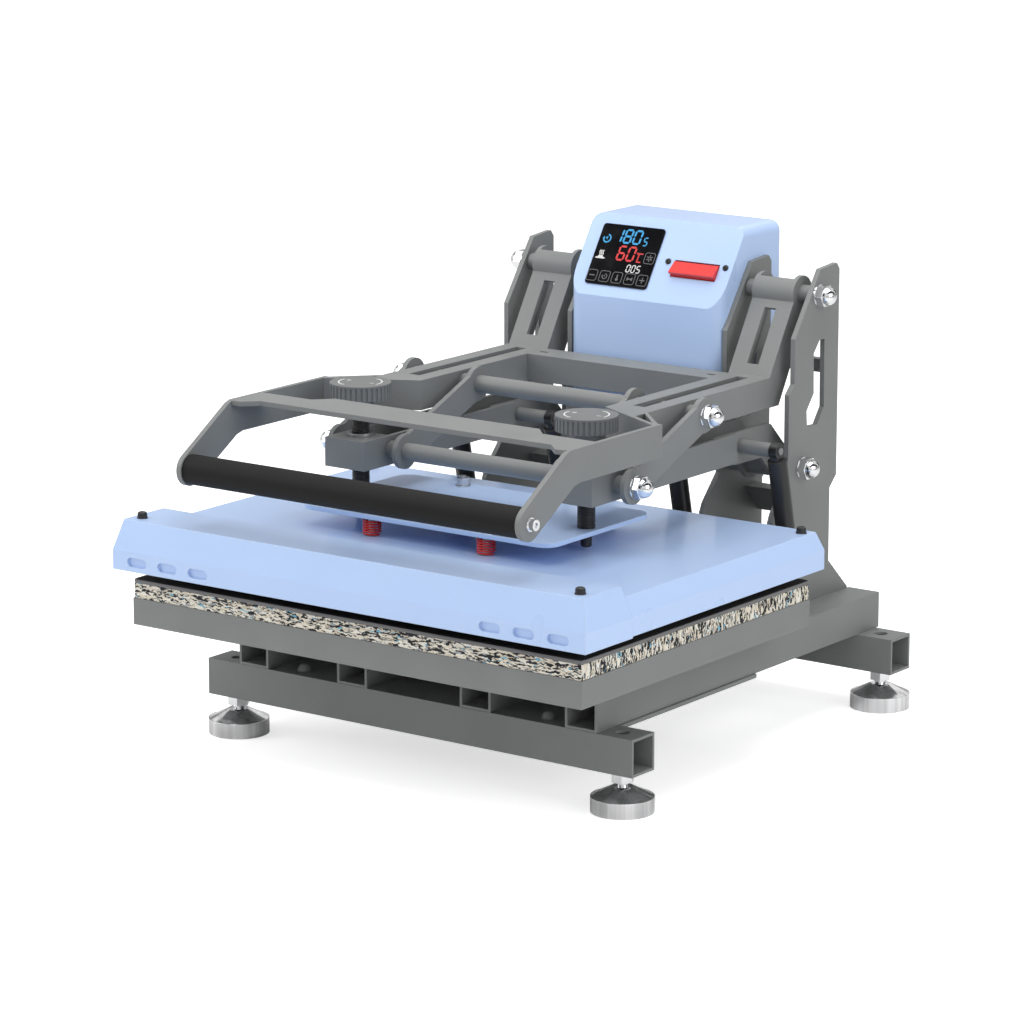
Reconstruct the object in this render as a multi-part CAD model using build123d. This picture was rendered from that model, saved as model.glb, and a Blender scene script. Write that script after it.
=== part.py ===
from build123d import *
import math
import os

# Large format clamshell heat press, millimetres.
# Bench frame while modelling: X to the operator's right, Y away from the operator,
# Z up, with Y 0 at the front edge of the lower pad and Z 0 under its tray.
# The finished pieces are shifted so that the origin lies on the floor under the middle.

# Fits shared by every piece
RUNNING_CLEARANCE = 0.06
SLIDING_CLEARANCE = 0.4
SOFT_CLEARANCE = 0.3
CUT_PAST = 1.0

# Lower pad
PAD_WIDTH = 600.0
PAD_DEPTH = 430.0
TRAY_HEIGHT = 30.0
TRAY_WALL = 2.0
FOAM_THICKNESS = 17.0
SHEET_THICKNESS = 4.0
STANDOFF_RADIUS = 10.0
STANDOFF_BACK_MARGIN = 60.0

# Main pivots: how far behind the pad the lower one lies, and the others from it
LOWER_PIVOT_BEHIND_PAD = 135.8
LOWER_PIVOT_HEIGHT = 140.5
TOP_PIVOT_BEHIND = 30.2
TOP_PIVOT_RISE = 192.0
UPPER_LINK_AHEAD = 195.8
UPPER_LINK_RISE = 91.5
LOWER_LINK_AHEAD = 329.8
LOWER_LINK_RISE = 36.5
PIVOT_BOLT_RADIUS = 8.0
LINK_ROD_RADIUS = 7.0
SLEEVE_WALL = 3.0
HUB_WALL = 6.0
NUT_ACROSS = 23.0
NUT_HEX_HEIGHT = 9.0
NUT_DOME_STEP = 0.6
NUT_BORE_SPARE = 0.5
WASHER_RIM = 4.5
WASHER_THICKNESS = 2.5
ROD_TIP_IN_NUT = 10.0

# Welded base
RAIL_SIDE = 41.0
RAIL_WALL = 3.0
RAIL_BELOW_TRAY = 18.0
RAIL_SETBACK = 0.3
RAIL_OVERHANG = 5.0
FOOT_BEAM_HALF_LENGTH = 287.0
FRONT_BEAM_FRONT = 109.4
REAR_BEAM_BEHIND_PIVOT = 59.2
BASE_PLATE_THICKNESS = 4.5
BASE_PLATE_DEPTH = 261.6
BASE_PLATE_OVERHANG = 2.0
BEAM_BOLT_X = 166.0
BEAM_BOLT_RADIUS = 8.0

# Levelling feet
FOOT_FROM_BEAM_END = 26.0
FOOT_DISC_RADIUS = 34.0
FOOT_DISC_HEIGHT = 17.0
FOOT_CONE_STEP = 1.0
FOOT_CONE_HEIGHT = 11.0
FOOT_NECK_RADIUS = 11.0
FOOT_STEM_RADIUS = 6.0
FOOT_NUT_ACROSS = 22.0
FOOT_NUT_HEIGHT = 12.0
FOOT_DROP = 44.5
FOOT_STEM_RISE = 34.0
FOOT_HOLE_MARGIN = 1.5
FOOT_TOP_HOLE_RADIUS = 7.5

# Uprights, two plates on each side with the arms between them
PAIR_X = 152.5
PLATE_GAP = 85.0
PLATE_THICKNESS = 6.0
UPRIGHT_FOOT_AHEAD = 60.8
UPRIGHT_FOOT_DROP = 52.5
UPRIGHT_FOOT_CHAMFER = (5.0, 10.0)
UPRIGHT_THROAT_AHEAD = 27.8
UPRIGHT_THROAT_DROP = 12.5
UPRIGHT_THROAT_RISE = 86.5
UPRIGHT_STEP = 11.0
UPRIGHT_STEP_HEIGHT = 51.0
UPRIGHT_HEAD_BEHIND = (4.0, 38.0)
UPRIGHT_HEAD_RISE = (28.5, 31.5)
UPRIGHT_BACK_BEHIND = 43.6
UPRIGHT_HEAD_CHAMFER = 7.0
UPRIGHT_WAIST_DROP = 20.5
UPRIGHT_WAIST_STEP = (13.6, 13.0)
UPRIGHT_FLARE_DROP = 118.5
UPRIGHT_TAIL_CUT = (4.0, 2.0)
WINDOW_CORNERS = [
    (-8.0, -65.2), (4.0, -51.5), (14.4, -51.5), (15.0, -129.5),
    (1.0, -147.9), (-19.8, -147.0), (-21.3, -128.7), (-6.8, -110.8),
]
TIE_THICKNESS = 5.0
LOWER_TIE_BEHIND = 24.2
LOWER_TIE_DROP = 36.5
LOWER_TIE_DEPTH = 24.0
LOWER_TIE_THROAT = 6.5
LOWER_TIE_LEG = (30.0, 28.0)
LOWER_TIE_TOE = 4.0
UPPER_TIE_DEPTH = 11.0
UPPER_TIE_HEIGHT = 15.0
UPPER_TIE_DROP = 79.5
UPPER_TIE_MARGIN = 0.6

# Arms
ARM_WIDTH = 55.0
ARM_WALL = 5.0
ARM_DEPTH = 34.0
LOWER_ARM_DROP = 17.0
LOWER_ARM_HEIGHT = 33.0
STRUT_PIN_BEHIND_ARM = 15.0
BRACKET_LAP = 36.0
BRACKET_STEP = 0.5
BRACKET_DROP = (3.0, 4.0)
BRACKET_KNEE_AHEAD = 42.8
BRACKET_HUB_MARGIN = 6.0
BRACKET_HEEL_TURN = 220.5
BRACKET_BROW_TURN = 38.7
BRACKET_SHOULDER_AHEAD = (23.8, 29.8)
BRACKET_SHOULDER_EASE = 2.0
ARM_ABOVE_LINK = 14.0
UPPER_ARM_AHEAD = 80.0
UPPER_ARM_BEND_AHEAD = 66.0
WEB_AHEAD_OF_PIVOT = 12.0
WEB_ABOVE_PIVOT = 6.0
SPLAY_LENGTH = 42.5
ARM_SPLAY_STEP = 10.0
EAR_RADIUS = 20.0
ARM_SLOT_WIDTH = 15.0
ARM_SLOT_FRONT_MARGIN = 23.0
ARM_SLOT_BACK_MARGIN = 12.0
SLOPE_SLOT_START = 14.0
SLOPE_SLOT_END_MARGIN = 26.0
LINK_END_RADIUS = 19.5
LINK_HALF_WIDTH = 16.0

# Handle
GRIP_AHEAD_OF_LINK = 226.0
GRIP_ABOVE_LINK = 4.5
GRIP_RADIUS = 16.5
GRIP_BORE = 12.0
HANDLE_PLATE_X = 222.0
HANDLE_PLATE_DEPTH = 36.5
HANDLE_BEND_BEHIND_GRIP = 68.0
HANDLE_UNDER_BEND = 14.0
HANDLE_BEND_EASE = (4.0, 5.0, 2.5)
CROSS_PLATE_BEHIND_BEND = 16.0
CROSS_PLATE_DEPTH = 58.0
CROSS_PLATE_STEP = 19.0
CROSS_PLATE_FRONT_STEP = 16.0
CROSS_PLATE_FRONT_CUT = (12.0, 28.0)
CROSS_PLATE_BACK_CUT = (67.0, 85.0)
CROSS_PLATE_THICKNESS = 5.5
REAR_CHANNEL_TO_BEND = 1.0
REAR_CHANNEL_DEPTH = 38.0
REAR_CHANNEL_HEIGHT = 31.0
REAR_CHANNEL_WALL = 3.0
REAR_SLOT_LENGTH = 12.0
REAR_SLOT_WIDTH = 6.0
REAR_SLOT_MARGIN = 10.0
GRIP_BOLT_RADIUS = 4.0
GRIP_BOLT_REACH = 20.0
GRIP_HEAD_RIM = 3.5
GRIP_HEAD_STEP = 1.5
GRIP_HEAD_CAP = 2.0
GRIP_HEAD_HEIGHT = 8.0
GRIP_SOCKET_ACROSS = 5.0
GRIP_SOCKET_DEPTH = 3.5

# Pressure screws
SPINDLE_AHEAD_OF_LINK = 20.0
SPINDLE_RADIUS = 10.0
SPINDLE_TAIL_RADIUS = 6.2
SPINDLE_TAIL_DROP = 16.0
SPINDLE_RING_STEP = 2.0
SPINDLE_RING_HEIGHT = 1.5
SPINDLE_RING_PLAY = 0.2
BLOCK_AHEAD = 29.0
BLOCK_BEHIND = 18.0
BUSH_WALL = 3.0
BUSH_FLANGE_STEP = 2.5
BUSH_FLANGE_HEIGHT = 4.0
KNOB_RADIUS = 34.0
KNOB_HEIGHT = 17.0
KNOB_ABOVE_ARM = 60.0
KNOB_CAP = 16.0
KNOB_FLUTES = 36
KNOB_FLUTE_RADIUS = 1.3
KNOB_RIM = 2.5
KNOB_HUB_RADIUS = 15.0
KNOB_HUB_HEIGHT = 9.0

# Heating platen
PLATEN_ABOVE_SHEET = 9.7
HEATING_PLATE_THICKNESS = 14.0
COVER_LIFT = 2.2
COVER_EDGE_HEIGHT = 21.5
COVER_HEIGHT = 41.8
COVER_SIDE_MARGIN = 11.0
COVER_BACK_MARGIN = 11.0
COVER_FRONT_UNDER_BAND = 45.2
COVER_INSET = 7.2
COVER_SHEET = 1.5
BAND_RISE = 13.5
BAND_STANDOUT = 4.1
BAND_AHEAD_OF_PAD = 15.2
BAND_DEPTH = 84.2
BAND_INSET = 9.3
HEATER_RADIUS = 4.0
HEATER_RUNS = 6
HEATER_SIDE_MARGIN = 70.0
HEATER_END_MARGIN = 45.0
INSULATION_THICKNESS = 11.5
INSULATION_SIDE_MARGIN = 30.0
INSULATION_END_MARGIN = 25.0
BACKING_PLATE_THICKNESS = 4.0
BACKING_PAST_STUDS = (63.0, 54.0, 52.0)
BACKING_POST_RADIUS = 6.0
BACKING_POST_FROM_EDGE = 30.0
CAP_NUT_RADIUS = 6.2
CAP_NUT_HEIGHT = 7.5
CAP_STEM_RADIUS = 3.0
FRONT_CAP_FROM_SIDE = 23.1
FRONT_CAP_FROM_FRONT = 23.7
BACK_CAP_FROM_SIDE = 17.0
BACK_CAP_FROM_BACK = 21.0
VENT_LENGTH = 27.0
VENT_HEIGHT = 10.5
VENT_PITCH = 43.0
VENT_COUNT = 3
VENT_FROM_SIDE = 34.2
VENT_RISE = 10.4
VENT_RECESS = 3.5
VENT_FLOOR = 1.5

# Pressure plate and its springs
SPRING_ROOM = 20.0
PRESSURE_PLATE_THICKNESS = 5.0
PRESSURE_PLATE_PAST_SCREW = 16.5
PRESSURE_PLATE_AHEAD = 90.0
PRESSURE_PLATE_BEHIND = 102.0
PRESSURE_PLATE_CORNER = 18.0
STUD_X = 77.0
STUD_FROM_FRONT = 13.0
STUD_FROM_BACK = 15.0
STUD_RADIUS = 4.0
STUD_PLAY = 0.5
STUD_PAST_NUT = 2.0
LOCK_NUT_ACROSS = 13.0
LOCK_NUT_HEIGHT = 10.0
LOCK_NUT_FLANGE = 2.0
LOCK_NUT_FLANGE_HEIGHT = 1.5
SPRING_WIRE = 2.0
SPRING_OUTER_RADIUS = 10.5
SPRING_TURNS = 6.0
SPRING_SEAT_PLAY = 0.2
SPRING_ARCS_PER_TURN = 4
SPRING_CHECK_POINTS = 240

# Gas struts
STRUT_PIN_AHEAD = 84.8
STRUT_PIN_RISE = 36.0
STRUT_FOOT_AHEAD = 44.3
STRUT_FOOT_ABOVE_RAIL = 17.0
STRUT_PIN_RADIUS = 4.0
STRUT_PIN_PAST_EYE = 1.5
STRUT_EYE_RADIUS = 9.0
STRUT_EYE_WIDTH = 10.0
STRUT_CYLINDER_RADIUS = 11.0
STRUT_CYLINDER_LENGTH = 118.0
STRUT_NECK_LENGTH = 2.0
STRUT_NECK_STEP = 1.0
STRUT_NECK_INTO_EYE = 4.0
STRUT_CAP_LENGTH = 14.0
STRUT_ROD_RADIUS = 4.5
STRUT_ROD_IN_CYLINDER = 90.0
STRUT_ROD_IN_EYE = 4.0
STRUT_SPACER_RADIUS = 8.0
STRUT_FOOT_HOLE = 9.0
STRUT_FOOT_PIN_PAST = 8.0
STRUT_CHEEK_THICKNESS = 4.0
STRUT_CHEEK_RADIUS = 16.0

# Control box
BOX_AHEAD_OF_PIVOT = 25.8
BOX_DEPTH = 125.0
BOX_FRONT_HEIGHT = 113.0
BOX_ABOVE_PIVOT = 59.5
BOX_SHEET = 2.0
BOX_CORNER = 18.0
BOX_TOP_CORNER = 12.0
PANEL_ANGLE = 57.3
PANEL_BELOW_DISPLAY = 13.5
PANEL_ABOVE_DISPLAY = 13.3
DISPLAY_WIDTH = 85.5
DISPLAY_HEIGHT = 76.0
DISPLAY_X = -42.2
DISPLAY_THICKNESS = 1.5
DISPLAY_CORNER = 4.0
BOARD_MARGIN = 3.5
BOARD_THICKNESS = 1.6
BOARD_POST_RADIUS = 3.0
BOARD_POST_HEIGHT = 7.2
BOARD_POST_MARGIN = 8.0
ROCKER_WIDTH = 60.0
ROCKER_HEIGHT = 20.0
ROCKER_X = 56.0
ROCKER_MIDDLE = 44.0
ROCKER_SWEEP_PLAY = 0.1
ROCKER_LIP_DOWN = (8.0, 8.6, 6.0)
ROCKER_LIP_OUT = (7.2, 4.0, 2.0)
ROCKER_LOW_EDGE = 0.8
ROCKER_DEPTH = 8.0
ROCKER_AXLE_RADIUS = 1.5
ROCKER_AXLE_DROP = 2.0
ROCKER_AXLE_STUB = 2.0
ROCKER_GAP = 0.5
ROCKER_HOUSING_WALL = 4.0
ROCKER_HOUSING_DEPTH = 24.0
ROCKER_HOUSING_FLOOR = 3.0
BOX_SCREW_RADIUS = 3.6
BOX_SCREW_HEAD = 1.8
BOX_SCREW_SHANK = 1.5
BOX_SCREW_LENGTH = 8.0
BOX_SCREW_FROM_ROCKER = 8.9
BOX_SCREW_ABOVE_ROCKER = 7.5
INLET_X = 44.0
INLET_Z = 42.0
INLET_BODY = (28.0, 22.0, 24.0)
INLET_FLANGE = (40.0, 3.0, 34.0)
INLET_SOCKET = (22.0, 16.0, 16.0)
INLET_PIN = (2.0, 13.0, 6.0)
INLET_PIN_PITCH = 6.0
RELAY_X = -37.5
RELAY_Z = 61.0
RELAY_SIZE = (45.0, 24.0, 62.0)

# Worked out from the sizes above
RAIL_TOP = -RAIL_BELOW_TRAY
RAIL_BOTTOM = RAIL_TOP - RAIL_SIDE
BEAM_BOTTOM = RAIL_BOTTOM - RAIL_SIDE
FLOOR = BEAM_BOTTOM - FOOT_DROP
FOOT_X = FOOT_BEAM_HALF_LENGTH - FOOT_FROM_BEAM_END
FOOT_HOLE_RADIUS = FOOT_STEM_RADIUS + FOOT_HOLE_MARGIN
LOWER_PIVOT = (PAD_DEPTH + LOWER_PIVOT_BEHIND_PAD, LOWER_PIVOT_HEIGHT)
TOP_PIVOT = (LOWER_PIVOT[0] + TOP_PIVOT_BEHIND, LOWER_PIVOT[1] + TOP_PIVOT_RISE)
UPPER_LINK_PIVOT = (LOWER_PIVOT[0] - UPPER_LINK_AHEAD, LOWER_PIVOT[1] + UPPER_LINK_RISE)
LOWER_LINK_PIVOT = (LOWER_PIVOT[0] - LOWER_LINK_AHEAD, LOWER_PIVOT[1] + LOWER_LINK_RISE)
STRUT_PIN = (LOWER_PIVOT[0] - STRUT_PIN_AHEAD, LOWER_PIVOT[1] + STRUT_PIN_RISE)
STRUT_FOOT = (LOWER_PIVOT[0] - STRUT_FOOT_AHEAD, RAIL_TOP + STRUT_FOOT_ABOVE_RAIL)
SLEEVE_RADIUS = LINK_ROD_RADIUS + SLEEVE_WALL
HUB_RADIUS = PIVOT_BOLT_RADIUS + HUB_WALL
WASHER_RADIUS = PIVOT_BOLT_RADIUS + WASHER_RIM
REAR_BEAM_FRONT = LOWER_PIVOT[0] + REAR_BEAM_BEHIND_PIVOT
RAIL_FRONT = FRONT_BEAM_FRONT + RAIL_SETBACK
RAIL_BACK = REAR_BEAM_FRONT + RAIL_SIDE + RAIL_OVERHANG
FRONT_BEAM_MIDDLE = FRONT_BEAM_FRONT + RAIL_SIDE / 2
REAR_BEAM_MIDDLE = REAR_BEAM_FRONT + RAIL_SIDE / 2
INNER_PLATE_X = PAIR_X - PLATE_GAP / 2
OUTER_PLATE_X = PAIR_X + PLATE_GAP / 2
INNER_RAIL_X = INNER_PLATE_X - PLATE_THICKNESS - RAIL_SIDE / 2
OUTER_RAIL_X = OUTER_PLATE_X + PLATE_THICKNESS + RAIL_SIDE / 2
ARM_INNER = PAIR_X - ARM_WIDTH / 2
ARM_OUTER = PAIR_X + ARM_WIDTH / 2
SPINDLE_Y = LOWER_LINK_PIVOT[0] - SPINDLE_AHEAD_OF_LINK
LOWER_ARM_BOTTOM = LOWER_LINK_PIVOT[1] - LOWER_ARM_DROP
LOWER_ARM_TOP = LOWER_ARM_BOTTOM + LOWER_ARM_HEIGHT
LOWER_ARM_FRONT = SPINDLE_Y + BLOCK_BEHIND
LOWER_ARM_BACK = STRUT_PIN[0] - STRUT_PIN_BEHIND_ARM
UPPER_ARM_TOP = UPPER_LINK_PIVOT[1] + ARM_ABOVE_LINK
UPPER_ARM_FRONT = UPPER_LINK_PIVOT[0] - UPPER_ARM_AHEAD
UPPER_ARM_BEND = TOP_PIVOT[0] - UPPER_ARM_BEND_AHEAD
HANDLE_PLATE_BACK = UPPER_ARM_FRONT - SPLAY_LENGTH
GRIP_AXIS = (LOWER_LINK_PIVOT[0] - GRIP_AHEAD_OF_LINK, LOWER_LINK_PIVOT[1] + GRIP_ABOVE_LINK)
HANDLE_PLATE_BEND = GRIP_AXIS[0] + HANDLE_BEND_BEHIND_GRIP
CROSS_PLATE_FRONT = HANDLE_PLATE_BEND + CROSS_PLATE_BEHIND_BEND
CROSS_PLATE_BACK = CROSS_PLATE_FRONT + CROSS_PLATE_DEPTH
REAR_CHANNEL_FRONT = UPPER_ARM_BEND - REAR_CHANNEL_TO_BEND - REAR_CHANNEL_DEPTH
BUSH_RADIUS = SPINDLE_RADIUS + BUSH_WALL
KNOB_TOP = LOWER_ARM_TOP + KNOB_ABOVE_ARM
SPINDLE_TOP = KNOB_TOP - KNOB_CAP
SHEET_TOP = TRAY_HEIGHT + FOAM_THICKNESS + SOFT_CLEARANCE + SHEET_THICKNESS
HEATING_PLATE_BOTTOM = SHEET_TOP + PLATEN_ABOVE_SHEET
HEATING_PLATE_TOP = HEATING_PLATE_BOTTOM + HEATING_PLATE_THICKNESS
COVER_BOTTOM = HEATING_PLATE_BOTTOM + COVER_LIFT
COVER_SHOULDER = COVER_BOTTOM + COVER_EDGE_HEIGHT
COVER_TOP = COVER_BOTTOM + COVER_HEIGHT
COVER_HALF_WIDTH = PAD_WIDTH / 2 + COVER_SIDE_MARGIN
COVER_BACK = PAD_DEPTH + COVER_BACK_MARGIN
BAND_TOP = COVER_TOP + BAND_RISE
BAND_HALF_WIDTH = COVER_HALF_WIDTH + BAND_STANDOUT
BAND_FRONT = -BAND_AHEAD_OF_PAD
BAND_BACK = BAND_FRONT + BAND_DEPTH
PLATE_BOTTOM = COVER_TOP + SPRING_ROOM
PLATE_TOP = PLATE_BOTTOM + PRESSURE_PLATE_THICKNESS
PRESSURE_PLATE_HALF_WIDTH = PAIR_X + PRESSURE_PLATE_PAST_SCREW
PRESSURE_PLATE_FRONT = SPINDLE_Y - PRESSURE_PLATE_AHEAD
PRESSURE_PLATE_BACK = SPINDLE_Y + PRESSURE_PLATE_BEHIND
STUD_FRONT_Y = PRESSURE_PLATE_FRONT + STUD_FROM_FRONT
STUD_BACK_Y = PRESSURE_PLATE_BACK - STUD_FROM_BACK
FRONT_CAP = (BAND_HALF_WIDTH - FRONT_CAP_FROM_SIDE, BAND_FRONT + FRONT_CAP_FROM_FRONT, BAND_TOP)
BACK_CAP = (COVER_HALF_WIDTH - BACK_CAP_FROM_SIDE, COVER_BACK - BACK_CAP_FROM_BACK, COVER_TOP)
BOX_FRONT = LOWER_PIVOT[0] - BOX_AHEAD_OF_PIVOT
BOX_BACK = BOX_FRONT + BOX_DEPTH
BOX_BOTTOM = LOWER_PIVOT[1] + BOX_ABOVE_PIVOT
BOX_PANEL_FOOT = BOX_BOTTOM + BOX_FRONT_HEIGHT
BOX_HALF_WIDTH = INNER_PLATE_X - PLATE_THICKNESS
UPPER_ARM_RISE = TOP_PIVOT[1] - UPPER_ARM_TOP
PIVOT_SPAN = math.hypot(UPPER_ARM_BEND_AHEAD, UPPER_ARM_RISE)
UPPER_ARM_TILT = math.atan2(UPPER_ARM_RISE, UPPER_ARM_BEND_AHEAD) + math.asin(WEB_AHEAD_OF_PIVOT / PIVOT_SPAN)
DISPLAY_MIDDLE = PANEL_BELOW_DISPLAY + DISPLAY_HEIGHT / 2
PANEL_LENGTH = PANEL_BELOW_DISPLAY + DISPLAY_HEIGHT + PANEL_ABOVE_DISPLAY
PANEL_LEAN = math.radians(PANEL_ANGLE)
BOX_PANEL_TOP_Y = BOX_FRONT + PANEL_LENGTH * math.cos(PANEL_LEAN)
BOX_TOP = BOX_PANEL_FOOT + PANEL_LENGTH * math.sin(PANEL_LEAN)
Y_MIDDLE = (BAND_FRONT + REAR_BEAM_MIDDLE + FOOT_DISC_RADIUS) / 2

parts = {}


def solids_in(shape):
    """Every solid of a shape or of a list of shapes."""
    if isinstance(shape, (list, tuple)):
        return [solid for item in shape for solid in solids_in(item)]
    return list(shape.solids())


def keep(name, *shapes):
    """Store one named sub-part, made of one solid or of a group of separate solids."""
    parts[name] = solids_in(list(shapes))


def block(x0, x1, y0, y1, z0, z1):
    """Box between two corners."""
    middle = Pos((x0 + x1) / 2, (y0 + y1) / 2, (z0 + z1) / 2)
    return middle * Box(x1 - x0, y1 - y0, z1 - z0)


def side_outline(points, x0, x1):
    """Closed (Y, Z) outline made solid from x0 to x1."""
    face = make_face(Polyline(*points, close=True))
    return extrude(Plane.YZ.offset(x0) * face, x1 - x0)


def plan_outline(points, z0, z1):
    """Closed (X, Y) outline made solid from z0 to z1."""
    face = make_face(Polyline(*points, close=True))
    return extrude(Plane.XY.offset(z0) * face, z1 - z0)


def bar_x(radius, x0, x1, pivot):
    """Round bar along X at a (Y, Z) place."""
    return Pos((x0 + x1) / 2, pivot[0], pivot[1]) * Rot(0, 90, 0) * Cylinder(radius, x1 - x0)


def bar_z(radius, x, y, z0, z1):
    """Upright round bar."""
    return Pos(x, y, (z0 + z1) / 2) * Cylinder(radius, z1 - z0)


def tube_x(outer, inner, x0, x1, pivot):
    """Round tube along X."""
    return bar_x(outer, x0, x1, pivot) - bar_x(inner, x0 - CUT_PAST, x1 + CUT_PAST, pivot)


def mirrored(shape):
    """The same piece on the operator's left."""
    return mirror(shape, about=Plane.YZ)


def both_sides(shape):
    return [shape, mirrored(shape)]


def hexagon_x(across, x0, x1, pivot):
    """Hexagonal bar along X."""
    face = Plane.YZ.offset(x0) * Pos(*pivot) * RegularPolygon(across / 2, 6, major_radius=False)
    return extrude(face, x1 - x0)


def hexagon_z(across, x, y, z0, z1):
    """Hexagonal bar along Z."""
    face = Plane.XY.offset(z0) * Pos(x, y) * RegularPolygon(across / 2, 6, major_radius=False)
    return extrude(face, z1 - z0)


def dome_nut(x, pivot, rod_radius):
    """Domed cap nut whose flat face lies at x, with its blind bore."""
    dome_radius = NUT_ACROSS / 2 - NUT_DOME_STEP
    body = hexagon_x(NUT_ACROSS, x, x + NUT_HEX_HEIGHT, pivot)
    dome = Pos(x + NUT_HEX_HEIGHT, pivot[0], pivot[1]) * Sphere(dome_radius)
    dome = dome & bar_x(
        dome_radius + CUT_PAST, x + NUT_HEX_HEIGHT, x + NUT_HEX_HEIGHT + dome_radius + CUT_PAST, pivot)
    return body + dome - bar_x(rod_radius, x - CUT_PAST, x + ROD_TIP_IN_NUT + NUT_BORE_SPARE, pivot)


def washer_x(x, pivot, bore):
    return tube_x(WASHER_RADIUS, bore, x, x + WASHER_THICKNESS, pivot)


def square_tube(x0, x1, y0, y1, z0, z1, along):
    """Square tube open at both ends, along 'x' or 'y'."""
    outer = block(x0, x1, y0, y1, z0, z1)
    w = RAIL_WALL
    if along == "x":
        return outer - block(x0 - CUT_PAST, x1 + CUT_PAST, y0 + w, y1 - w, z0 + w, z1 - w)
    return outer - block(x0 + w, x1 - w, y0 - CUT_PAST, y1 + CUT_PAST, z0 + w, z1 - w)


def lower_pad():
    """Swappable lower bed: pressed tray, rebonded foam block and silicone sheet."""
    half = PAD_WIDTH / 2
    inside = half - TRAY_WALL
    tray = block(-half, half, 0, PAD_DEPTH, TRAY_WALL, TRAY_HEIGHT)
    tray -= block(-inside, inside, TRAY_WALL, PAD_DEPTH - TRAY_WALL, 0, TRAY_HEIGHT - TRAY_WALL)
    tray_floor = block(-half, half, 0, PAD_DEPTH, 0, TRAY_WALL)
    foam_bottom = TRAY_HEIGHT + SOFT_CLEARANCE
    foam_top = TRAY_HEIGHT + FOAM_THICKNESS
    foam = block(-half, half, 0, PAD_DEPTH, foam_bottom, foam_top)
    sheet_bottom = foam_top + SOFT_CLEARANCE
    sheet = block(-half, half, 0, PAD_DEPTH, sheet_bottom, sheet_bottom + SHEET_THICKNESS)
    keep("pad_tray", tray, tray_floor)
    keep("pad_foam", foam)
    keep("pad_sheet", sheet)
    posts = []
    for x in (OUTER_RAIL_X, INNER_RAIL_X):
        for y in (FRONT_BEAM_MIDDLE, PAD_DEPTH - STANDOFF_BACK_MARGIN):
            posts += both_sides(bar_z(STANDOFF_RADIUS, x, y, RAIL_TOP, 0))
    keep("pad_standoffs", posts)


def base_frame():
    """Two foot beams across, four rails lengthwise and a thin plate under the rails."""
    half = FOOT_BEAM_HALF_LENGTH
    for name, front in (("front_foot_beam", FRONT_BEAM_FRONT), ("rear_foot_beam", REAR_BEAM_FRONT)):
        beam = square_tube(-half, half, front, front + RAIL_SIDE, BEAM_BOTTOM, RAIL_BOTTOM, "x")
        for x in (-FOOT_X, FOOT_X):
            middle = front + RAIL_SIDE / 2
            beam -= bar_z(
                FOOT_HOLE_RADIUS, x, middle, BEAM_BOTTOM - CUT_PAST, BEAM_BOTTOM + RAIL_WALL + CUT_PAST)
            beam -= bar_z(
                FOOT_TOP_HOLE_RADIUS, x, middle, RAIL_BOTTOM - RAIL_WALL - CUT_PAST, RAIL_BOTTOM + CUT_PAST)
        keep(name, beam)
    rails = []
    for x in (INNER_RAIL_X, OUTER_RAIL_X):
        left, right = x - RAIL_SIDE / 2, x + RAIL_SIDE / 2
        rail = square_tube(left, right, RAIL_FRONT, RAIL_BACK, RAIL_BOTTOM, RAIL_TOP, "y")
        rails += both_sides(rail)
    keep("base_rails", rails)
    edge = OUTER_RAIL_X + RAIL_SIDE / 2 + BASE_PLATE_OVERHANG
    front = FRONT_BEAM_FRONT + RAIL_SIDE
    under = RAIL_BOTTOM - BASE_PLATE_THICKNESS
    keep("base_plate", block(-edge, edge, front, front + BASE_PLATE_DEPTH, under, RAIL_BOTTOM))
    bolt = Pos(BEAM_BOLT_X, FRONT_BEAM_MIDDLE, RAIL_BOTTOM) * Sphere(BEAM_BOLT_RADIUS)
    bolt = bolt & block(0, PAD_WIDTH, 0, PAD_DEPTH, RAIL_BOTTOM, 0)
    keep("beam_bolts", both_sides(bolt))


def levelling_foot(x, y):
    """Disc, cone and threaded stem turned as one piece."""
    foot = bar_z(FOOT_DISC_RADIUS, x, y, FLOOR, FLOOR + FOOT_DISC_HEIGHT)
    cone_bottom = FLOOR + FOOT_DISC_HEIGHT
    cone = Cone(FOOT_DISC_RADIUS - FOOT_CONE_STEP, FOOT_NECK_RADIUS, FOOT_CONE_HEIGHT)
    foot += Pos(x, y, cone_bottom + FOOT_CONE_HEIGHT / 2) * cone
    foot += bar_z(FOOT_STEM_RADIUS, x, y, cone_bottom, BEAM_BOTTOM + FOOT_STEM_RISE)
    return foot


def feet():
    """Four levelling feet and the nuts welded under the beams."""
    nuts = []
    for side, x in (("left", -FOOT_X), ("right", FOOT_X)):
        for end, y in (("front", FRONT_BEAM_MIDDLE), ("rear", REAR_BEAM_MIDDLE)):
            keep(end + "_" + side + "_foot", levelling_foot(x, y))
            nut = hexagon_z(FOOT_NUT_ACROSS, x, y, BEAM_BOTTOM - FOOT_NUT_HEIGHT, BEAM_BOTTOM)
            bore = FOOT_STEM_RADIUS + RUNNING_CLEARANCE
            nuts.append(nut - bar_z(
                bore, x, y, BEAM_BOTTOM - FOOT_NUT_HEIGHT - CUT_PAST, BEAM_BOTTOM + CUT_PAST))
    keep("foot_nuts", nuts)


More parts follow.
